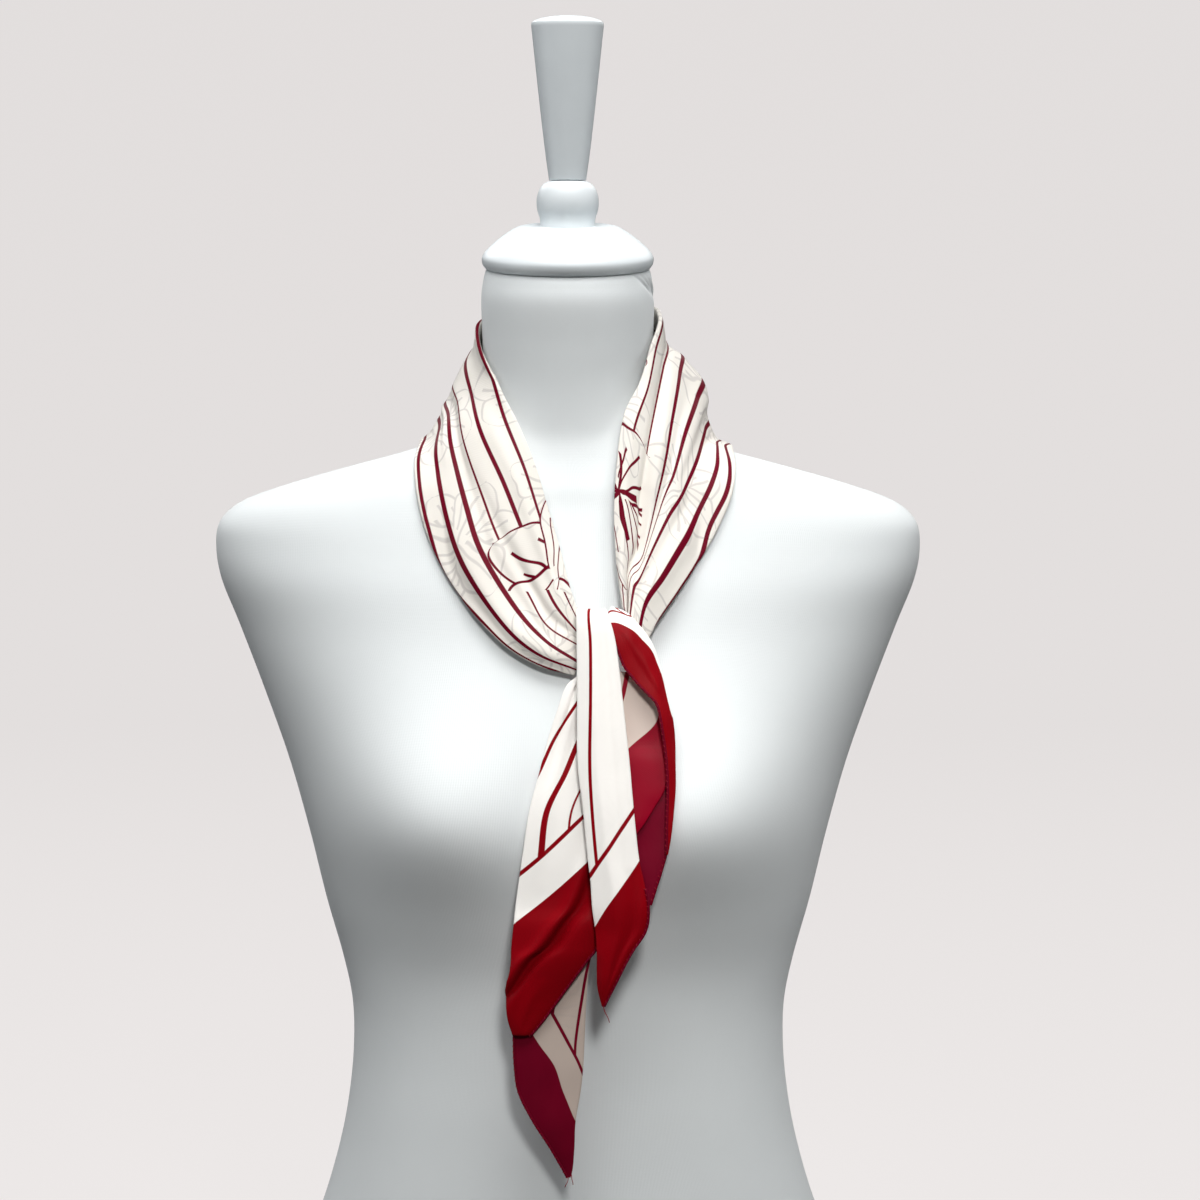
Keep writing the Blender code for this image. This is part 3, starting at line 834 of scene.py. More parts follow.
@dataclass
class DressForm:
    """The padded bust in its jersey cover, with the turned cap, bead and handle on its neck."""

    rows: int = 236
    columns: int = 232
    bust_offset: float = 78.0
    bust_height: float = 400.0
    bust_depth: float = 23.0
    bust_spread_x: float = 50.0
    bust_spread_z: float = 50.0
    bust_fade: float = 2.5
    cap_tilt: float = math.radians(6.0)
    tilt_start: float = 665.0
    cap_foot_z: float = 708.4
    gather_top: float = 706.0
    gather_width: float = 2.5
    gather_rows: tuple = ((49, 2.3, 21, -2.4), (58, 2.2, 25, -3.0), (68, 1.8, 21, -2.4),
                          (84, 1.2, 16, -1.0), (-128, -0.9, 22, -0.8), (150, 0.8, 26, -0.8))
    turned_columns: int = 96
    cap_profile: tuple = ((15, 24.4), (25, 24.4), (30, 23.2), (36, 19.6), (42, 15), (47, 10.4), (49.4, 7),
                          (49.8, 4.6), (49.2, 2), (47.6, 0), (46, -0.4))
    bead_profile: tuple = ((9, 26), (12.5, 25.2), (15.6, 22.6), (17.4, 18.8), (18, 14.6), (17.5, 10.4),
                           (16.3, 7), (15.8, 4), (15.8, 0))
    handle_profile: tuple = ((6, 96.9), (12, 96.2), (17, 95), (19.8, 93.6), (20.9, 92), (20.3, 85),
                             (16.9, 52), (13.6, 22), (11.4, 5), (10.7, 0))
    tree: BVHTree | None = field(default=None, repr=False)

    def surface(self) -> np.ndarray:
        """The cover's rings of points from the base up, in millimetres."""
        sections = spline(np.array(FORM_SECTIONS, dtype=float), self.rows)
        angle = np.linspace(0, math.tau, self.columns, endpoint=False)
        cos, sin = np.cos(angle), np.sin(angle)
        z, half_width, middle, front, back, square = (sections[:, k, None] for k in range(6))
        power = 2.0 / square
        x = half_width * np.sign(cos) * np.abs(cos) ** power
        depth = np.where(sin < 0, front, back)
        y = middle + depth * np.sign(sin) * np.abs(sin) ** power
        for side in (-1, 1):
            across = (x - side * self.bust_offset) / self.bust_spread_x
            up = (z - self.bust_height) / self.bust_spread_z
            fade = np.clip(-self.bust_fade * sin, 0, 1)
            y = y - self.bust_depth * np.exp(-across**2 - up**2) * fade
        lift = np.clip((z - self.tilt_start) / (sections[-1, 0] - self.tilt_start), 0, 1)
        z = z + lift * y * math.tan(self.cap_tilt)
        return np.stack(np.broadcast_arrays(x, y, z), axis=2)

    def gathers(self, rings: np.ndarray) -> np.ndarray:
        """How far small slanted folds of spare jersey stand out below the cap, in millimetres."""
        angle = np.degrees(np.arctan2(rings[..., 0], -rings[..., 1]))
        down = self.gather_top - rings[..., 2]
        height = np.zeros(angle.shape)
        for start, slant, length, tall in self.gather_rows:
            off = angle - start - slant * down
            fade = np.clip(1 - np.abs(down - length / 2) / (length / 2), 0, 1)
            height += tall * bump(off, self.gather_width) * fade
        return height

    def build_cover(self) -> bpy.types.Object:
        """The jersey cover's mesh, closed under the base and under the cap."""
        rings = self.surface()
        out = rings - rings.mean(axis=1, keepdims=True)
        out[..., 2] = 0
        out /= np.linalg.norm(out, axis=2, keepdims=True)
        rings = rings + out * self.gathers(rings)[..., None]
        waist = rings[self.rows // 2]
        girth = np.linalg.norm(np.diff(waist, axis=0, append=waist[:1]), axis=1)
        across = np.broadcast_to(np.cumsum(girth) * MM, rings.shape[:2])
        flat = np.stack([across, rings[..., 2] * MM], axis=2)
        cover = mesh_object("form_jersey_cover", rings.reshape(-1, 3) * MM,
                            ring_faces(self.rows, self.columns), flat.reshape(-1, 2))
        outward(cover)
        self.tree = BVHTree.FromPolygons([tuple(v) for v in rings.reshape(-1, 3)],
                                         ring_faces(self.rows, self.columns))
        return cover

    def turned(self, name: str, profile: Sequence, foot: Vector, tilt: float = 0.0) -> bpy.types.Object:
        """A turned solid from radius and height pairs, standing on its foot point.

        Args:
            name: The piece's name.
            profile: Radius and height pairs from the top down, in millimetres.
            foot: The middle of its underside, in millimetres.
            tilt: How far it leans forward, in radians.
        """
        radius, height = spline(np.array(profile, dtype=float), 4 * len(profile)).T
        angle = np.linspace(0, math.tau, self.turned_columns, endpoint=False)
        x = radius[:, None] * np.cos(angle)
        y = radius[:, None] * np.sin(angle)
        z = np.broadcast_to(height[:, None], x.shape)
        y, z = y * math.cos(tilt) - z * math.sin(tilt), y * math.sin(tilt) + z * math.cos(tilt)
        rings = np.stack([x, y, z], axis=2) + np.array(foot)
        piece = mesh_object(name, rings.reshape(-1, 3) * MM, ring_faces(len(radius), self.turned_columns))
        outward(piece)
        return piece

    def build(self, jersey: bpy.types.Material, paint: bpy.types.Material) -> None:
        """Builds and dresses the cover, the cap, the bead and the handle."""
        cover = self.build_cover()
        cover.data.materials.append(jersey)
        place(cover, "jersey_cover", "form_torso")
        cap_foot = Vector((0, 0, self.cap_foot_z))
        top_y = -self.cap_profile[0][1] * math.sin(self.cap_tilt)
        parts = [("neck_cap", "form_neck_cap", self.cap_profile, cap_foot, self.cap_tilt)]
        for name, node, profile in (("finial_bead", "form_finial_bead", self.bead_profile),
                                    ("finial_handle", "form_finial_handle", self.handle_profile)):
            low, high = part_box(node)
            scale = (high.z - low.z) / MM / profile[0][1]
            fitted = [(radius, height * scale) for radius, height in profile]
            parts.append((name, node, fitted, Vector((0, top_y, low.z / MM)), 0.0))
        for name, node, profile, foot, tilt in parts:
            piece = self.turned(name, profile, foot, tilt)
            piece.data.materials.append(paint)
            place(piece, "painted_wood", node)

    def clear(self, points: np.ndarray, distance: float) -> np.ndarray:
        """Points moved out along the form's surface where they are nearer than a distance.

        Args:
            points: Points in millimetres, of any shape ending in three.
            distance: The least distance from the form, in millimetres.
        """
        moved = points.reshape(-1, 3).copy()
        for index, point in enumerate(moved):
            spot, normal, _, _ = self.tree.find_nearest(point)
            short = distance - (Vector(point) - spot).dot(normal)
            if short > 0:
                inside = short > distance
                moved[index] = spot + normal * distance if inside else Vector(point) + normal * short
        return moved.reshape(points.shape)

    def shortfall(self, grid: np.ndarray, distance: float) -> np.ndarray:
        """How far each row of a grid has to come forward to clear the form, smoothed along the rows.

        Args:
            grid: The points in millimetres.
            distance: The least distance from the form, in millimetres.
        """
        short = np.zeros(len(grid))
        for index, row in enumerate(grid):
            for point in row[::3]:
                spot, normal, _, _ = self.tree.find_nearest(point)
                short[index] = max(short[index], distance - (Vector(point) - spot).dot(normal))
        reach = 9
        padded = np.pad(short, reach, mode="edge")
        widest = np.array([padded[i:i + 2 * reach + 1].max() for i in range(len(short))])
        padded = np.pad(widest, reach, mode="edge")
        return np.array([padded[i:i + 2 * reach + 1].mean() for i in range(len(short))])


# --------------------------------------------------------------------------------------------
# The scarf
# --------------------------------------------------------------------------------------------

class Crease(NamedTuple):
    """A soft ridge or trough along the cloth.

    It lies at `across` in the flat, or at a share of the width on a tail; it runs from `start` to
    `end` as shares of the length, stands `height` proud (less than zero for a trough), and fades
    over `above` and `below` to its two sides.
    """

    across: float
    end_across: float
    start: float
    end: float
    height: float
    above: float
    below: float


def crease_height(creases: Sequence, across: np.ndarray, share: np.ndarray) -> np.ndarray:
    """The cloth's rise over all its creases, in millimetres.

    Args:
        creases: The creases.
        across: Places across the cloth, in the creases' own measure.
        share: Places along the cloth, from 0 to 1.
    """
    height = np.zeros(np.broadcast(across, share).shape)
    for crease in creases:
        run = (share - crease.start) / (crease.end - crease.start)
        fade = np.sin(np.clip(run, 0, 1) * math.pi) ** 0.7
        middle = crease.across + (crease.end_across - crease.across) * np.clip(run, 0, 1)
        off = across - middle
        width = np.where(off > 0, crease.above, crease.below)
        height = height + crease.height * fade * np.exp(-((off / width) ** 2))
    return height


def fold_edges(grid: np.ndarray, flat: np.ndarray, normal: np.ndarray, radius: float,
               first: int, last: int) -> tuple:
    """Turns a sheet's two long edges round behind it.

    Args:
        grid: Points by row and column, in millimetres.
        flat: Their flat places, by the same rows and columns.
        normal: The unit normals on the shown side.
        radius: The fold's outer radius.
        first: How many columns go back behind the first edge, or 0 to leave it a free edge.
        last: The same behind the last edge.

    Returns:
        The grid and flat places with the folds added.
    """
    behind = grid - 2 * radius * normal
    turns = np.linspace(0, math.pi, 7)[1:]

    def edge(columns: int, here: int, step: int) -> tuple:
        """The points round one edge and back behind it."""
        away = grid[:, here] - grid[:, here + step]
        away /= np.maximum(np.linalg.norm(away, axis=1, keepdims=True), 1e-9)
        push = flat[:, here] - flat[:, here + step]
        push /= np.maximum(np.linalg.norm(push, axis=1, keepdims=True), 1e-9)
        points, places = [], []
        for turn in turns:
            offset = radius * (math.sin(turn) * away - (1 - math.cos(turn)) * normal[:, here])
            points.append(grid[:, here] + offset)
            places.append(flat[:, here] + push * radius * turn)
        back = places[-1]
        for k in range(1, columns + 1):
            index = here + step * k
            points.append(behind[:, index])
            gone = np.linalg.norm(grid[:, here] - grid[:, index], axis=1, keepdims=True)
            places.append(back + push * gone)
        return points, places

    parts, spots = [grid], [flat]
    if first:
        points, places = edge(first, 0, 1)
        parts.insert(0, np.stack(points[::-1], axis=1))
        spots.insert(0, np.stack(places[::-1], axis=1))
    if last:
        points, places = edge(last, grid.shape[1] - 1, -1)
        parts.append(np.stack(points, axis=1))
        spots.append(np.stack(places, axis=1))
    return np.concatenate(parts, axis=1), np.concatenate(spots, axis=1)


def cloth_piece(name: str, grid: np.ndarray, flat: np.ndarray, thickness: float,
                finish: bpy.types.Material) -> bpy.types.Object:
    """A thin cloth wall on a grid of points.

    Args:
        name: The piece's name.
        grid: Points by row and column, in millimetres.
        flat: Their flat places, in millimetres.
        thickness: The wall, in millimetres.
        finish: Its material.
    """
    rows, columns = grid.shape[:2]
    faces = [(i * columns + j, i * columns + j + 1, (i + 1) * columns + j + 1, (i + 1) * columns + j)
             for i in range(rows - 1) for j in range(columns - 1)]
    piece = mesh_object(name, grid.reshape(-1, 3) * MM, faces, flat.reshape(-1, 2) * MM)
    bm = bmesh.new()
    bm.from_mesh(piece.data)
    bmesh.ops.remove_doubles(bm, verts=bm.verts, dist=0.00001)
    bm.to_mesh(piece.data)
    bm.free()
    piece.data.materials.append(finish)
    wall = piece.modifiers.new("Cloth wall", "SOLIDIFY")
    wall.thickness = thickness * MM
    wall.offset = 0.0
    return piece


class BandSection(NamedTuple):
    """One cut across the folded band: its upper edge, four lines along it and its lower edge.

    `across` is how far each of the six is from the square's diagonal, in the flat.
    """

    place: str
    upper: tuple
    line_a: tuple
    line_b: tuple
    line_c: tuple
    line_d: tuple
    lower: tuple
    across: tuple


LEFT_BAND = [
    BandSection("knot", (6.6, -88, 515), (6.2, -90, 505), (6.6, -92, 498),
                 (6.4, -95, 489), (5.6, -94.6, 485), (4.6, -94, 482), (155, 132, 119, 108, 97, 88)),
    BandSection("by knot", (1, -84, 531), (-6, -88, 520), (-11, -90, 509),
                 (-12, -93, 501), (-17, -94, 494), (-19, -91, 489), (155, 132, 119, 108, 96, 84)),
    BandSection("low chest", (-4, -78, 549), (-14, -82, 536), (-22, -84, 527),
                 (-29, -86, 519), (-36, -88, 510), (-41, -85, 504), (155, 132, 119, 108, 96, 84)),
    BandSection("mid chest", (-12, -68, 575), (-26, -73, 564), (-38, -76, 556),
                 (-48, -77, 549), (-57, -77, 540), (-65, -73, 533), (154, 132, 119, 108, 96, 87)),
    BandSection("high chest", (-19, -60, 597), (-36, -63, 588), (-48, -64, 580),
                 (-57, -64, 574), (-68, -62, 568), (-80, -57, 563), (153, 132, 119, 108, 96, 84)),
    BandSection("collarbone", (-29, -48, 620), (-49, -46, 615), (-59, -44, 610),
                 (-66, -42, 606), (-75, -41, 601), (-86, -38, 595), (152, 132, 119, 108, 96, 83.5)),
    BandSection("neck front", (-41, -32, 642), (-55, -22, 635), (-63, -18, 630),
                 (-68, -15, 623), (-74, -14, 617), (-84.5, -13, 606), (147.8, 132, 119, 108, 96, 83)),
    BandSection("neck side", (-52.5, 1, 672), (-59.5, 5, 656), (-66, 8, 642),
                 (-69, 9, 631), (-74, 10, 623), (-84, 12, 609), (145.2, 132, 119, 108, 96, 81)),
]
BACK_BAND = [
    BandSection("back left", (-40, 37, 682), (-45, 44, 668), (-50, 49, 651),
                 (-53, 53, 638), (-58, 57, 624), (-65, 63, 605), (148, 132, 119, 108, 96, 76)),
    BandSection("back middle", (0, 54, 690), (1, 61, 671), (1, 65, 654),
                 (1, 69, 640), (1, 73, 625), (1, 78, 605), (151, 132, 119, 108, 96, 72)),
    BandSection("back right", (41, 37, 687), (46, 44, 670), (52, 49, 653),
                 (56, 53, 640), (62, 57, 625), (70, 62, 604), (150, 132, 119, 108, 96, 72)),
    BandSection("neck side", (54, 2, 681), (58, 6, 664), (65, 8, 657),
                 (76, 9, 643), (81, 10, 620), (90.5, 12, 600), (148, 132, 119, 108, 96, 72)),
]
RIGHT_BAND = [
    BandSection("neck front", (48, -22, 662), (56, -18, 652), (64, -14, 646),
                 (73, -13, 632), (80, -13, 614), (91, -14, 591), (150, 133, 119, 108, 95, 63)),
    BandSection("collarbone", (42, -36, 643), (51, -38, 630), (60, -37, 624),
                 (67, -38, 615), (75, -40, 600), (92, -39, 578), (154, 133, 119, 108, 95.5, 67.5)),
    BandSection("high chest", (33, -48, 625), (46, -55, 608), (55, -54, 600),
                 (61, -55, 594), (68, -58, 580), (84, -56, 560), (157, 133, 120, 108.5, 93, 66)),
    BandSection("mid chest", (29, -61, 600), (41, -65, 584), (49, -65, 577),
                 (55, -67, 572), (61, -71, 562), (74, -69, 544), (158, 134, 122, 101.5, 89.2, 71)),
    BandSection("low chest", (27, -72, 572), (36, -77, 557), (42, -77, 551),
                 (46, -79, 547), (52, -82, 539), (62, -80, 527), (158, 141, 127, 97, 85.3, 71.2)),
    BandSection("by knot", (28, -82, 545), (33, -86, 536), (37, -87, 531),
                 (40, -88, 528), (44, -89, 521), (51, -87, 512), (158, 140, 97.5, 92.7, 82, 71.5)),
    BandSection("knot", (31, -88, 521), (33, -91, 517), (35, -92, 514),
                 (37, -93, 511), (40, -93, 507), (45, -91, 502), (158, 144, 97, 92.2, 83, 74)),
]


@dataclass
class ScarfBand:
    """The folded band from the knot round the neck and back to the knot, as one sheet."""

    rows: int = 380
    columns: int = 60
    fold_radius: float = 1.05
    inner_columns: int = 9
    thickness: float = 0.4
    clearance: float = 4.2
    creases: tuple = (
        Crease(150, 146, 0.00, 0.20, 1.2, 4, 3), Crease(141, 138, 0.02, 0.34, 1.6, 5, 4),
        Crease(126, 119, 0.00, 0.25, -2.6, 3, 4), Crease(113, 114, 0.04, 0.42, -2.1, 4, 5),
        Crease(101, 96, 0.02, 0.26, 1.4, 5, 4), Crease(90, 92, 0.10, 0.34, -1.2, 4, 5),
        Crease(84, 86, 0.00, 0.20, 1.0, 3, 3), Crease(103, 103, 0.26, 0.55, 2.3, 14, 2.4),
        Crease(148, 140, 0.34, 0.60, -1.4, 4, 4), Crease(132, 126, 0.40, 0.66, 1.6, 6, 4),
        Crease(118, 122, 0.38, 0.58, -1.6, 4, 6), Crease(92, 88, 0.36, 0.62, -1.3, 4, 4),
        Crease(80, 84, 0.42, 0.70, 1.2, 4, 4), Crease(103, 104, 0.50, 0.78, 2.6, 13, 2.4),
        Crease(146, 151, 0.60, 1.04, 2.6, 6, 7), Crease(134, 130, 0.60, 0.98, -4.0, 3.0, 4.0),
        Crease(122, 122, 0.82, 1.06, -3.6, 15, 15),
        Crease(125, 122, 0.66, 0.92, 1.6, 5, 4), Crease(113, 112, 0.60, 0.90, -1.2, 3, 4),
        Crease(90, 91, 0.66, 0.98, -1.8, 3.5, 4), Crease(80, 82, 0.70, 0.95, 1.4, 4, 4),
        Crease(71, 72, 0.60, 0.85, -1.2, 3, 3), Crease(139, 127, 0.34, 0.62, -2.8, 3.5, 5),
        Crease(112, 119, 0.38, 0.64, 2.4, 6, 3), Crease(88, 82, 0.34, 0.60, -2.4, 4, 4),
    )

    def build(self, form: DressForm, silk: bpy.types.Material) -> bpy.types.Object:
        """Builds the band, clear of the form.

        Args:
            form: The form that it lies on.
            silk: The printed silk.
        """
        sections = [*LEFT_BAND, *BACK_BAND, *RIGHT_BAND]
        guides = np.array([section[1:7] for section in sections], dtype=float)
        lines = spline(guides, self.rows)
        grid = spline(lines.transpose(1, 0, 2), self.columns).transpose(1, 0, 2)
        share = np.linspace(0, 1, self.rows)[:, None]
        places = steady(np.array([section.across for section in sections], dtype=float), self.rows)
        across = steady(places.T, self.columns).T
        along = arc_lengths(grid[:, self.columns // 2])[:, None]
        along = along - along[-1] / 2
        flat = np.stack([np.broadcast_to(along, across.shape), across], axis=2)
        back = (self.rows // 2, self.columns // 2, (0, 1, 0))
        normal = facing_normals(grid, *back)
        grid = form.clear(grid, self.clearance - 1.0)
        grid = grid + normal * crease_height(self.creases, across, share)[..., None]
        grid = form.clear(grid, self.clearance)
        grid, flat = fold_edges(grid, flat, facing_normals(grid, *back), self.fold_radius,
                                self.inner_columns, self.inner_columns)
        band = cloth_piece("scarf_band_silk", grid, flat, self.thickness, silk)
        place(band, "silk", "scarf_left_band", "scarf_back_band", "scarf_right_band")
        return band


class TailRow(NamedTuple):
    """One cut across a hanging layer, from its left edge to its right edge.

    `along` is how far the row is from the corner of the square, measured down the diagonal, and
    the last two are how far its edges are from the diagonal, all in the flat.
    """

    left_x: float
    left_y: float
    left_z: float
    right_x: float
    right_y: float
    right_z: float
    along: float
    left_across: float
    right_across: float


def level(z: float, left_x: float, right_x: float, left_y: float, right_y: float,
          along: float, left_across: float, right_across: float) -> TailRow:
    """A row whose two edges are at the same height."""
    return TailRow(left_x, left_y, z, right_x, right_y, z, along, left_across, right_across)


@dataclass
class ScarfTail:
    """One hanging layer of the scarf, laid through its rows."""

    name: str
    nodes: tuple
    rows_table: Sequence
    silk: bpy.types.Material
    end: float = 1.0
    slot: str = "silk"
    fold_left: int = 0
    fold_right: int = 0
    rows: int = 150
    columns: int = 36
    fold_radius: float = 0.8
    thickness: float = 0.35
    bow: float = 1.5
    clearance: float = 1.2
    creases: tuple = ()
    edges: dict = field(default_factory=dict, repr=False)
    cut: tuple = ()

    def build(self, form: DressForm) -> bpy.types.Object:
        """Builds the layer in front of the form, dresses it and keeps its edges and its cut."""
        table = spline(np.array(self.rows_table, dtype=float), self.rows)
        share = np.linspace(0, 1, self.columns)[None, :, None]
        left, right = table[:, None, 0:3], table[:, None, 3:6]
        grid = left + (right - left) * share
        across = table[:, None, 7] + (table[:, None, 8] - table[:, None, 7]) * share[..., 0]
        along = np.broadcast_to(self.end * (HALF_DIAGONAL - table[:, None, 6]), across.shape)
        flat = np.stack([along, across], axis=2)
        down = np.linspace(0, 1, self.rows)[:, None]
        width = np.clip(np.linalg.norm(right - left, axis=2) / 12, 0, 1)
        place_across = share[..., 0] + 0 * down
        bowed = self.bow * (1 - (2 * place_across - 1) ** 2)
        rise = bowed + crease_height(self.creases, place_across, down)
        grid[..., 1] -= rise * width
        grid[..., 1] -= form.shortfall(grid, self.clearance)[:, None]
        self.edges = {"left": grid[:, 0].copy(), "right": grid[:, -1].copy()}
        normal = facing_normals(grid, self.rows // 2, self.columns // 2, (0, -1, 0))
        grid, flat = fold_edges(grid, flat, normal, self.fold_radius, self.fold_left, self.fold_right)
        piece = cloth_piece(self.name, grid, flat, self.thickness, self.silk)
        place(piece, self.slot, *self.nodes)
        self.cut = cut_of(grid)
        return piece


FRONT_TAIL = [
    level(512, 10, 21, -88, -88, 222, 3, 18),
    level(517.5, 7.5, 21.5, -91, -91, 217, 1, 20),
    level(519, 6, 22, -97, -97, 211, 0, 24),
    level(514, 6, 24, -104, -104, 204, 0, 28),
    level(500, 6.3, 27.6, -108, -107, 190, 0, 30),
    level(472, 6.6, 31, -112, -111, 173, 0.5, 34),
    level(436, 6.8, 35, -116, -115, 141, 2, 38),
    level(409, 9.9, 37.4, -119, -118, 113.6, 4.2, 40),
    level(383, 12.4, 40.2, -121, -120, 87.6, 4.6, 40.4),
    level(370, 14, 43, -122, -121, 74.6, 4.6, 43),
    level(355, 15, 45.6, -123, -122, 59.6, 4.4, 48),
    level(342, 16.7, 44, -123, -122, 45.6, 3.6, 45.4),
    level(329, 17.4, 35.7, -124, -123, 31, 2.6, 31),
    level(312, 17.4, 27, -124, -124, 13, 1.2, 13),
    level(300, 20, 21, -124, -124, 0.6, 0, 0.6),
]
FRONT_FLAP = [
    TailRow(22, -100, 515, 25, -94, 520, 190, 119, 111),
    TailRow(24.5, -104, 503.5, 33.5, -97, 516.5, 182, 182, 104),
    TailRow(28, -105, 498, 39.5, -100, 510.5, 174, 174, 114.6),
    TailRow(32, -106, 488, 44.5, -101, 504.5, 166, 166, 112.3),
    TailRow(37.5, -107, 481, 48.5, -102, 497.5, 158, 158, 108.5),
    TailRow(41, -108, 477, 51.2, -103, 489.5, 151, 151, 103),
    TailRow(45.5, -109, 472.5, 53.5, -104.5, 482, 145, 145, 98.3),
    TailRow(50, -110, 467.5, 55.7, -106, 471.5, 139, 139, 93),
    TailRow(52, -111, 460.5, 58.6, -108, 460, 133, 133, 87.7),
    level(448, 54, 60, -112, -109, 120, 120, 92),
    level(435, 55.6, 60.2, -113, -111, 110, 110, 90),
    level(420, 56.2, 60.2, -114, -112.5, 98, 98, 82),
    level(405, 55.8, 58.8, -115.6, -115.2, 84, 84, 72),
    level(392, 55.6, 57.2, -117.4, -117.4, 74, 74, 70),
    level(384, 55.4, 55.7, -118.8, -118.8, 67, 67, 66),
]
FRONT_INNER = [
    level(484, 24, 47, -99, -98, 170, -84, -112),
    level(469, 25, 54, -102, -100, 155, -74, -112),
    level(455, 26, 58.0, -104, -102, 141, -74, -104),
    level(444, 27, 58.4, -106, -104.5, 130, -76, -104),
    level(436, 28, 57.4, -108.6, -107.6, 122, -76, -102),
    level(420, 29, 54.8, -111.5, -111.8, 106, -70, -96),
    level(410, 30, 49, -113.5, -113.6, 96, -70, -86),
    level(402, 32, 44, -115, -115, 88, -66, -80),
    level(394, 34, 38, -116, -116.2, 80, -66, -72),
]
FRONT_BACK = [
    level(470, 28, 50, -100, -98, 156, -90, -118),
    level(455, 29, 56, -102, -100, 141, -80, -112),
    level(444, 30, 58, -104, -103, 130, -78, -108),
    level(420, 32, 58, -109, -110, 106, -70, -100),
    level(398, 34, 57.4, -112, -114, 84, -58, -84),
    level(386, 35.6, 55.8, -114, -116, 72, -50, -72),
    level(376, 37.7, 53.2, -116, -117, 62, -44, -62),
    level(366, 39.8, 50, -117, -118, 52, -40, -52),
    level(356, 42.4, 46.8, -118.5, -119, 42, -38, -42),
]
REAR_TAIL = [
    level(490, 11, 20, -90, -90, 231, 12, 22),
    level(482, 7, 20, -95, -95, 223, 16, 32),
    level(476, 0.6, 20, -98, -98, 217, 18, 42),
    level(464, -4, 21, -101, -101, 205, 23, 54),
    level(447, -9.5, 21, -103, -103, 188, 29.6, 66),
    level(428, -14.5, 21, -106, -107, 169, 34, 75),
    level(407, -20, 21, -109, -110, 149, 40, 85),
    level(382, -23.8, 21, -111, -112, 123.5, 40.4, 85),
    level(357, -27.3, 20, -112, -114, 98, 40.6, 82),
    level(345, -28.6, 19, -114, -116, 85.3, 40, 78),
    level(332, -29.9, 17.2, -115, -115.5, 76, 40, 76),
    level(324, -30.4, 11.6, -115.5, -115, 70.6, 39.6, 70.6),
    level(310, -32.3, 1.6, -114.5, -113.5, 61, 39, 61),
    level(300, -33.3, -5.5, -113.5, -112.8, 54, 38.6, 54),
    level(290, -32.3, -12.7, -112.6, -112.3, 47, 38, 47),
    level(281, -29.8, -20, -112, -112, 41, 37, 41),
]
REAR_CORNER = [
    level(342, -22, 17, -107.6, -108, 156, -78, -14),
    level(330, -24, 15, -108.2, -108.6, 144, -74, -11),
    level(318, -27, 12.5, -108.4, -109, 132, -70, -8.5),
    level(298, -29.5, 11, -108.8, -109.6, 112, -67, -5.5),
    level(276, -29.4, 10, -109.6, -110.2, 90, -68, -1.5),
    level(262, -28.8, 9.3, -110.4, -110.8, 76.6, -76.6, -0.5),
    level(248, -26.6, 7.7, -111, -111, 62, -62, 0),
    level(232, -18.6, 5, -112, -112, 45, -45, 0),
    level(218, -9.7, 4.4, -112, -112, 26, -26, 0),
    level(206, -2.8, 3.5, -112, -112, 9, -9, 0),
    level(200, 0.4, 2.2, -112, -112, 1, -1, 0),
]

REAR_CREASES = (
    Crease(0.91, -0.24, 0.42, 0.88, 2.8, 0.06, 0.09),
    Crease(1.02, -0.15, 0.42, 0.91, -4.4, 0.11, 0.05),
    Crease(0.34, 0.12, 0.02, 0.36, -1.8, 0.07, 0.05),
    Crease(0.55, 0.30, 0.10, 0.50, -0.8, 0.12, 0.10),
    Crease(0.30, 0.16, 0.15, 0.55, 0.7, 0.10, 0.10),
    Crease(0.50, 0.30, 0.78, 1.0, 0.9, 0.14, 0.16),
)
FRONT_CREASES = (
    Crease(0.74, 0.62, 0.10, 0.66, -1.3, 0.10, 0.16),
    Crease(0.34, 0.42, 0.25, 0.90, 0.9, 0.12, 0.12),
    Crease(0.80, 0.62, 0.60, 0.96, -1.4, 0.10, 0.14),
    Crease(0.52, 0.50, 0.02, 0.30, 0.6, 0.1, 0.1),
)
FLAP_CREASES = (Crease(0.50, 0.62, 0.05, 0.55, 0.8, 0.16, 0.14),)


@dataclass
class ScarfKnot:
    """The gathered turn of cloth inside the knot, which the tails hang from."""

    middle: tuple = (18, -92, 500)
    half_width: float = 10.5
    half_height: float = 9.5
    half_depth: float = 4.4
    pleats: int = 7
    rows: int = 40
    columns: int = 96

    def build(self, silk: bpy.types.Material) -> bpy.types.Object:
        """Builds the turn as a pleated roll with closed ends."""
        lean = np.linspace(-1, 1, self.rows)[:, None]
        angle = np.linspace(0, math.tau, self.columns)[None, :]
        size = np.sqrt(np.clip(1 - 0.82 * lean**4, 0.03, 1))
        pleat = 1 + 0.06 * np.cos(self.pleats * angle + 2.2 * lean) + 0.03 * np.cos(13 * angle - 3 * lean)
        x = self.middle[0] + self.half_width * size * pleat * np.cos(angle)
        y = self.middle[1] + self.half_depth * size * pleat * np.sin(angle)
        z = self.middle[2] + self.half_height * lean + 0.8 * np.cos(3 * angle)
        grid = np.stack(np.broadcast_arrays(x, y, z), axis=2)
        flat = np.stack(np.broadcast_arrays(420 + 12 * lean, 60 + 9 * angle), axis=2).copy()
        knot = cloth_piece("scarf_knot_silk", grid, flat, 0.4, silk)
        place(knot, "silk", "scarf_knot_core")
        return knot


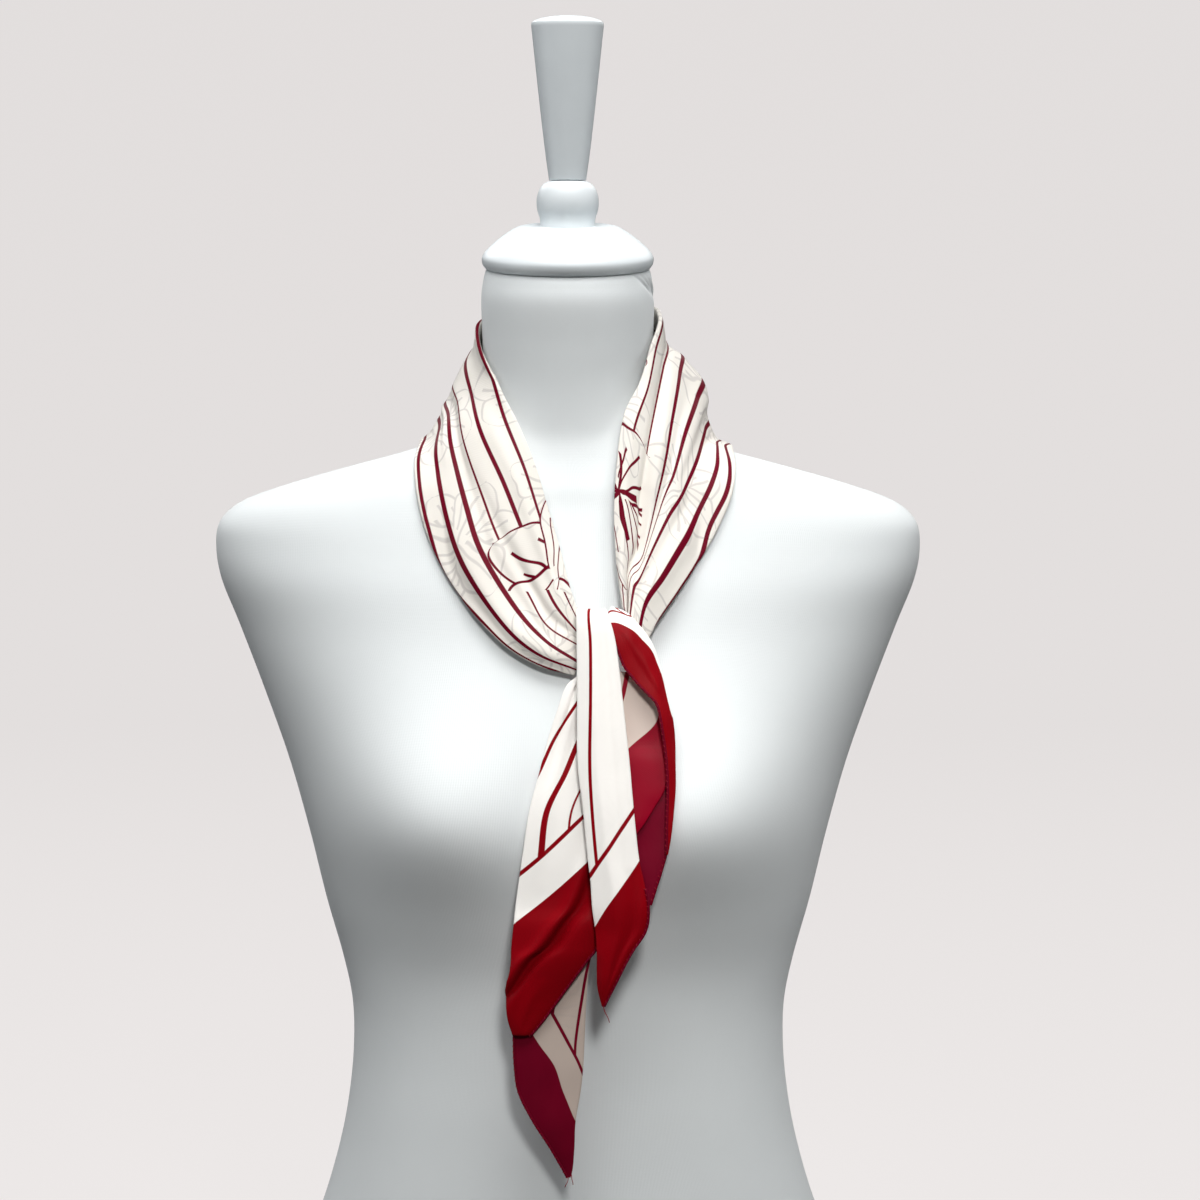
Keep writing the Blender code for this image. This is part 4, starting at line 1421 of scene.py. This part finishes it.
@dataclass
class HemStitches:
    """Small slanted hand stitches set along a rolled hem by Geometry Nodes."""

    pitch: float = 0.0032
    length: float = 0.0013
    radius: float = 0.00016

    def tree(self, thread: bpy.types.Material) -> bpy.types.NodeTree:
        """The tree that sets a stitch at each step of a curve."""
        tree = bpy.data.node_groups.new("Hem stitches", "GeometryNodeTree")
        tree.interface.new_socket("Geometry", in_out="INPUT", socket_type="NodeSocketGeometry")
        for label in ("Pitch", "Length", "Radius"):
            tree.interface.new_socket(label, in_out="INPUT", socket_type="NodeSocketFloat")
        tree.interface.new_socket("Geometry", in_out="OUTPUT", socket_type="NodeSocketGeometry")
        g = Graph(tree)
        start, end = g.node("NodeGroupInput"), g.node("NodeGroupOutput")
        steps = g.node("GeometryNodeResampleCurve", mode="LENGTH")
        g.feed(steps.inputs["Curve"], start.outputs["Geometry"])
        g.feed(steps.inputs["Length"], start.outputs["Pitch"])
        stitch = g.node("GeometryNodeMeshCylinder")
        stitch.inputs["Vertices"].default_value = 6
        g.feed(stitch.inputs["Radius"], start.outputs["Radius"])
        g.feed(stitch.inputs["Depth"], start.outputs["Length"])
        tangent = g.node("GeometryNodeInputTangent")
        turn = g.node("FunctionNodeAlignRotationToVector", axis="X")
        g.feed(turn.inputs["Vector"], tangent.outputs[0])
        slant = g.node("FunctionNodeRotateRotation", rotation_space="LOCAL")
        g.feed(slant.inputs[0], turn.outputs[0])
        slant.inputs[1].default_value = (0.0, math.radians(35), 0.0)
        laid = g.node("GeometryNodeInstanceOnPoints")
        g.feed(laid.inputs["Points"], steps.outputs[0])
        g.feed(laid.inputs["Instance"], stitch.outputs["Mesh"])
        g.feed(laid.inputs["Rotation"], slant.outputs[0])
        real = g.node("GeometryNodeRealizeInstances")
        g.feed(real.inputs[0], laid.outputs[0])
        dress = g.node("GeometryNodeSetMaterial")
        g.feed(dress.inputs["Geometry"], real.outputs[0])
        dress.inputs["Material"].default_value = thread
        g.feed(end.inputs[0], dress.outputs[0])
        return tree

    def sew(self, name: str, paths: Sequence, thread: bpy.types.Material) -> bpy.types.Object:
        """Sets stitches along several paths and makes them one plain mesh.

        Args:
            name: The piece's name.
            paths: Lists of points, in millimetres.
            thread: The thread's material.
        """
        curve = bpy.data.curves.new(name, "CURVE")
        curve.dimensions = "3D"
        for path in paths:
            line = curve.splines.new("POLY")
            line.points.add(len(path) - 1)
            for point, spot in zip(line.points, path):
                point.co = (*(np.array(spot) * MM), 1)
        source = bpy.data.objects.new(name + "_line", curve)
        bpy.context.scene.collection.objects.link(source)
        tree = self.tree(thread)
        modifier = source.modifiers.new("Stitches", "NODES")
        modifier.node_group = tree
        for item in tree.interface.items_tree:
            value = {"Pitch": self.pitch, "Length": self.length, "Radius": self.radius}.get(item.name)
            if value is not None:
                modifier[item.identifier] = value
        bpy.context.view_layer.update()
        plain = bpy.data.meshes.new_from_object(source.evaluated_get(bpy.context.evaluated_depsgraph_get()))
        plain.name = name
        bpy.data.objects.remove(source)
        sewn = bpy.data.objects.new(name, plain)
        bpy.context.scene.collection.objects.link(sewn)
        if not plain.materials:
            plain.materials.append(thread)
        return sewn


def tube(paths: Sequence, radii: Sequence, sides: int = 10) -> tuple:
    """Round tubes with closed ends.

    Args:
        paths: Lines of points in millimetres.
        radii: A radius for each path, or one for each of its points.
        sides: How many sides the tubes have.

    Returns:
        The points, the faces and the places in the flat square.
    """
    verts, faces, places = [], [], []
    for path, radius in zip(paths, radii):
        path = np.asarray(path, dtype=float)
        base = len(verts)
        run = np.gradient(path, axis=0)
        run /= np.linalg.norm(run, axis=1, keepdims=True)
        side = np.cross(run, (0.0, -1.0, 0.02))
        side /= np.linalg.norm(side, axis=1, keepdims=True)
        out = np.cross(side, run)
        gone = arc_lengths(path)
        for i, point in enumerate(path):
            size = radius[i] if hasattr(radius, "__len__") else radius
            for k in range(sides):
                angle = math.tau * k / sides
                verts.append(point + size * (math.cos(angle) * side[i] + math.sin(angle) * out[i]))
                places.append((gone[i] - HEM_PLACE, HEM_PLACE + size * angle))
        faces += [tuple(base + v for v in face) for face in ring_faces(len(path), sides)]
    return np.array(verts), faces, np.array(places)


@dataclass
class RolledHems:
    """The hand-rolled hem along the free edges of the tails, and the thread ends at the corners."""

    radius: float = 0.75
    thread_radius: float = 0.22

    def path(self, tail: ScarfTail, side: str, first: float, last: float, forward: float) -> np.ndarray:
        """A free edge's line, in millimetres.

        Args:
            tail: The built layer.
            side: Which edge, "left" or "right".
            first: The height that it starts from.
            last: The height that it ends at.
            forward: How far in front of the edge it runs.
        """
        line = tail.edges[side] - (0.0, forward, 0.0)
        return line[(line[:, 2] <= first) & (line[:, 2] >= last)]

    def build(self, tails: dict, silk: bpy.types.Material, thread: bpy.types.Material) -> dict:
        """Builds the hems, their stitches and the thread ends.

        Args:
            tails: The built layers by name.
            silk: The hems' silk.
            thread: The stitches' thread.

        Returns:
            The pieces on the front layer and on the rear layer, by the layer's name.
        """
        front, flap = tails["scarf_front_tail_silk"], tails["scarf_front_flap_silk"]
        back, rear = tails["scarf_front_back_silk"], tails["scarf_rear_tail_silk"]
        corner = tails["scarf_rear_corner_silk"]
        lines = {
            front.name: [self.path(front, "right", 366, 300, 0.3), self.path(flap, "left", 516, 386, 0.4),
                         self.path(back, "right", 424, 356, 0.0)],
            rear.name: [self.path(rear, "right", 332, 281, 0.2), self.path(corner, "left", 282, 200, 0.0)],
        }
        on = {}
        for owner, paths in lines.items():
            stem = owner.removesuffix("_tail_silk")
            verts, faces, places = tube(paths, [self.radius] * len(paths))
            hem = mesh_object(f"{stem}_hem", verts * MM, faces, places * MM)
            outward(hem)
            hem.data.materials.append(silk)
            place(hem, "silk_border")
            seams = [path - (0.5, self.radius, 0) for path in paths]
            stitches = HemStitches().sew(f"{stem}_stitches", seams, thread)
            place(stitches, "silk_border")
            on[owner] = [hem, stitches]
        tip, lower = front.edges["left"][-1], corner.edges["left"][-1]
        ends = [tip + np.array([(0.5, 0, 0.5), (1.4, -0.5, -3), (3, -0.6, -6), (4, -0.4, -9)]),
                lower + np.array([(0.6, 0, 0.5), (0.2, -0.5, -2), (-0.8, -0.6, -4), (-1.4, -0.4, -5.5)]),
                lower + np.array([(2.2, 0, 2), (2.5, -0.6, -0.5), (3.0, -0.7, -2.5), (3.2, -0.5, -4)])]
        verts, faces, _ = tube([spline(end, 14) for end in ends], [self.thread_radius] * len(ends), 6)
        loose = mesh_object("scarf_thread_ends", verts * MM, faces)
        outward(loose)
        loose.data.materials.append(thread)
        place(loose, "silk_border")
        on[front.name].append(loose)
        return on


# --------------------------------------------------------------------------------------------
# Studio
# --------------------------------------------------------------------------------------------

@dataclass
class Studio:
    """A pale sweep of backdrop and floor, one broad soft light overhead, low fills and the camera."""

    camera_place: tuple = (0.0187, -2.0, 0.70)
    camera_aim: tuple = (0.0187, 0.0, 0.515)
    lens: float = 103.0
    wall_y: float = 4.2
    half_width: float = 6.0
    tone: tuple = (0.768, 0.738, 0.731)
    glow: float = 0.975

    def backdrop(self) -> None:
        """The sweep, a floor that rises into a wall."""
        bend = 0.8
        turn = [(self.wall_y - bend + bend * math.sin(a), bend - bend * math.cos(a))
                for a in np.linspace(0, math.pi / 2, 12)]
        profile = [(-6.0, 0.0), *turn, (self.wall_y, 5.0)]
        verts, faces = [], []
        for y, z in profile:
            verts += [(-self.half_width, y, z - 0.0005), (self.half_width, y, z - 0.0005)]
        for i in range(len(profile) - 1):
            faces.append((2 * i, 2 * i + 1, 2 * i + 3, 2 * i + 2))
        sweep = mesh_object("studio_sweep", np.array(verts), faces)
        mat = bpy.data.materials.new("pale_paper")
        mat.use_nodes = True
        shader = mat.node_tree.nodes["Principled BSDF"]
        shader.inputs["Base Color"].default_value = (*[c * 0.14 for c in self.tone], 1)
        shader.inputs["Roughness"].default_value = 1.0
        shader.inputs["Specular IOR Level"].default_value = 0.0
        shader.inputs["Emission Color"].default_value = (*self.tone, 1)
        seen = mat.node_tree.nodes.new("ShaderNodeLightPath")
        level_out = mat.node_tree.nodes.new("ShaderNodeMath")
        level_out.operation = "MULTIPLY"
        level_out.inputs[1].default_value = self.glow
        mat.node_tree.links.new(seen.outputs["Is Camera Ray"], level_out.inputs[0])
        mat.node_tree.links.new(level_out.outputs[0], shader.inputs["Emission Strength"])
        sweep.data.materials.append(mat)

    def hang(self, name: str, light: bpy.types.Light, spot: tuple, aim: tuple) -> None:
        """Puts a light in the scene.

        Args:
            name: The lamp's name.
            light: The light, with its power and colour.
            spot: Where it hangs, in metres.
            aim: The place that it points at, in metres.
        """
        lamp = bpy.data.objects.new(name, light)
        lamp.location = spot
        lamp.rotation_euler = (Vector(aim) - Vector(spot)).to_track_quat("-Z", "Y").to_euler()
        bpy.context.scene.collection.objects.link(lamp)

    def lamp(self, name: str, spot: tuple, aim: tuple, size: tuple, power: float, colour: tuple) -> None:
        """One rectangular soft light, `size` metres across and up."""
        light = bpy.data.lights.new(name, "AREA")
        light.shape = "RECTANGLE"
        light.size, light.size_y = size
        light.energy = power
        light.color = colour
        self.hang(name, light, spot, aim)

    def spot(self, name: str, spot: tuple, aim: tuple, cone: float, power: float, colour: tuple) -> None:
        """One soft-edged round light, `cone` radians wide."""
        light = bpy.data.lights.new(name, "SPOT")
        light.spot_size = cone
        light.spot_blend = 1.0
        light.shadow_soft_size = 0.16
        light.energy = power
        light.color = colour
        self.hang(name, light, spot, aim)

    def build(self) -> None:
        """Builds the stage, the lights and the camera."""
        self.backdrop()
        self.lamp("overhead", (0.05, -0.60, 2.0), (0.02, 0, 0.55), (1.6, 0.9), 34, (1.0, 0.995, 0.985))
        self.spot("chest", (0.22, -1.7, 1.40), (0.03, -0.08, 0.415), math.radians(18), 84,
                  (1.0, 0.99, 0.97))
        self.lamp("left fill", (-2.0, -0.45, 0.95), (0, 0, 0.45), (1.0, 1.4), 6.5, (0.95, 0.98, 1.0))
        self.lamp("right fill", (2.1, -0.40, 0.95), (0, 0, 0.45), (1.0, 1.4), 6.0, (0.97, 0.99, 1.0))
        self.lamp("back left", (-1.5, 1.9, 2.1), (0, 0, 0.5), (1.2, 1.0), 17, (0.98, 0.99, 1.0))
        self.lamp("back right", (1.5, 1.9, 2.1), (0, 0, 0.5), (1.2, 1.0), 13, (1.0, 0.995, 0.985))
        world = bpy.data.worlds.new("studio")
        world.use_nodes = True
        g = Graph(world.node_tree)
        seen = g.node("ShaderNodeLightPath").outputs["Is Camera Ray"]
        air = world.node_tree.nodes["Background"]
        g.feed(air.inputs["Color"], g.mix(seen, (0.95, 0.97, 1.0, 1), (*self.tone, 1)))
        g.feed(air.inputs["Strength"], g.ramp(seen, 0.0, 1.0, 0.05, self.glow * 1.01))
        bpy.context.scene.world = world
        bpy.context.scene.view_settings.view_transform = "Standard"
        camera = bpy.data.cameras.new("camera")
        camera.lens = self.lens
        holder = bpy.data.objects.new("camera", camera)
        holder.location = self.camera_place
        way = Vector(self.camera_aim) - Vector(self.camera_place)
        holder.rotation_euler = way.to_track_quat("-Z", "Y").to_euler()
        bpy.context.scene.collection.objects.link(holder)
        bpy.context.scene.camera = holder


def main() -> None:
    """Builds the studio, the form and the scarf, and dresses them."""
    logging.basicConfig(level=logging.INFO)
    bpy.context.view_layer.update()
    Studio().build()
    form = DressForm()
    form.build(JerseyFinish().build(), PaintFinish().build())
    design = ScarfPrint().build()
    twill = SilkTwill().build()
    # The band's silk is the darker, painted-shade copy; the tails' silk is the lighter, painted-light copy.
    silk = SilkFinish("printed_silk", Face.BAND).build(design, twill)
    plain = SilkFinish("printed_silk_tail_painted_light", Face.TAIL).build(design, twill)
    # Its darker beige cream is painted shade; its duller print is the wrong side's own.
    wrong = SilkFinish("printed_silk_wrong_side_painted_shade", Face.WRONG).build(design, twill)
    # Painted shade: the fold's shade is painted into this wrong side's colours.
    inner = SilkFinish("printed_silk_inner_side_painted_shade", Face.INNER).build(design, twill)
    thread = ThreadFinish().build()
    ScarfBand().build(form, silk)
    ScarfKnot().build(silk)
    tails = [
        ScarfTail("scarf_rear_corner_silk", ("scarf_rear_tail_corner",), REAR_CORNER, wrong, end=-1.0,
                  thickness=0.3, bow=0.8, clearance=1.0),
        ScarfTail("scarf_rear_tail_silk", ("scarf_rear_tail",), REAR_TAIL, plain, end=-1.0,
                  fold_left=14, bow=1.8, clearance=2.6, creases=REAR_CREASES),
        ScarfTail("scarf_front_back_silk", ("scarf_front_tail_back",), FRONT_BACK, wrong, bow=0.6,
                  clearance=1.2),
        ScarfTail("scarf_front_inner_silk", (), FRONT_INNER, inner, bow=0.6, clearance=2.2),
        ScarfTail("scarf_front_tail_silk", ("scarf_front_tail",), FRONT_TAIL, plain,
                  fold_left=14, bow=3.2, creases=FRONT_CREASES),
        ScarfTail("scarf_front_flap_silk", ("scarf_front_tail_flap",), FRONT_FLAP, plain,
                  fold_right=7, bow=0.8, clearance=4.6, creases=FLAP_CREASES),
    ]
    pieces = {tail.name: tail.build(form) for tail in tails}
    on = RolledHems().build({tail.name: tail for tail in tails}, silk, thread)


if __name__ == "__main__":
    main()
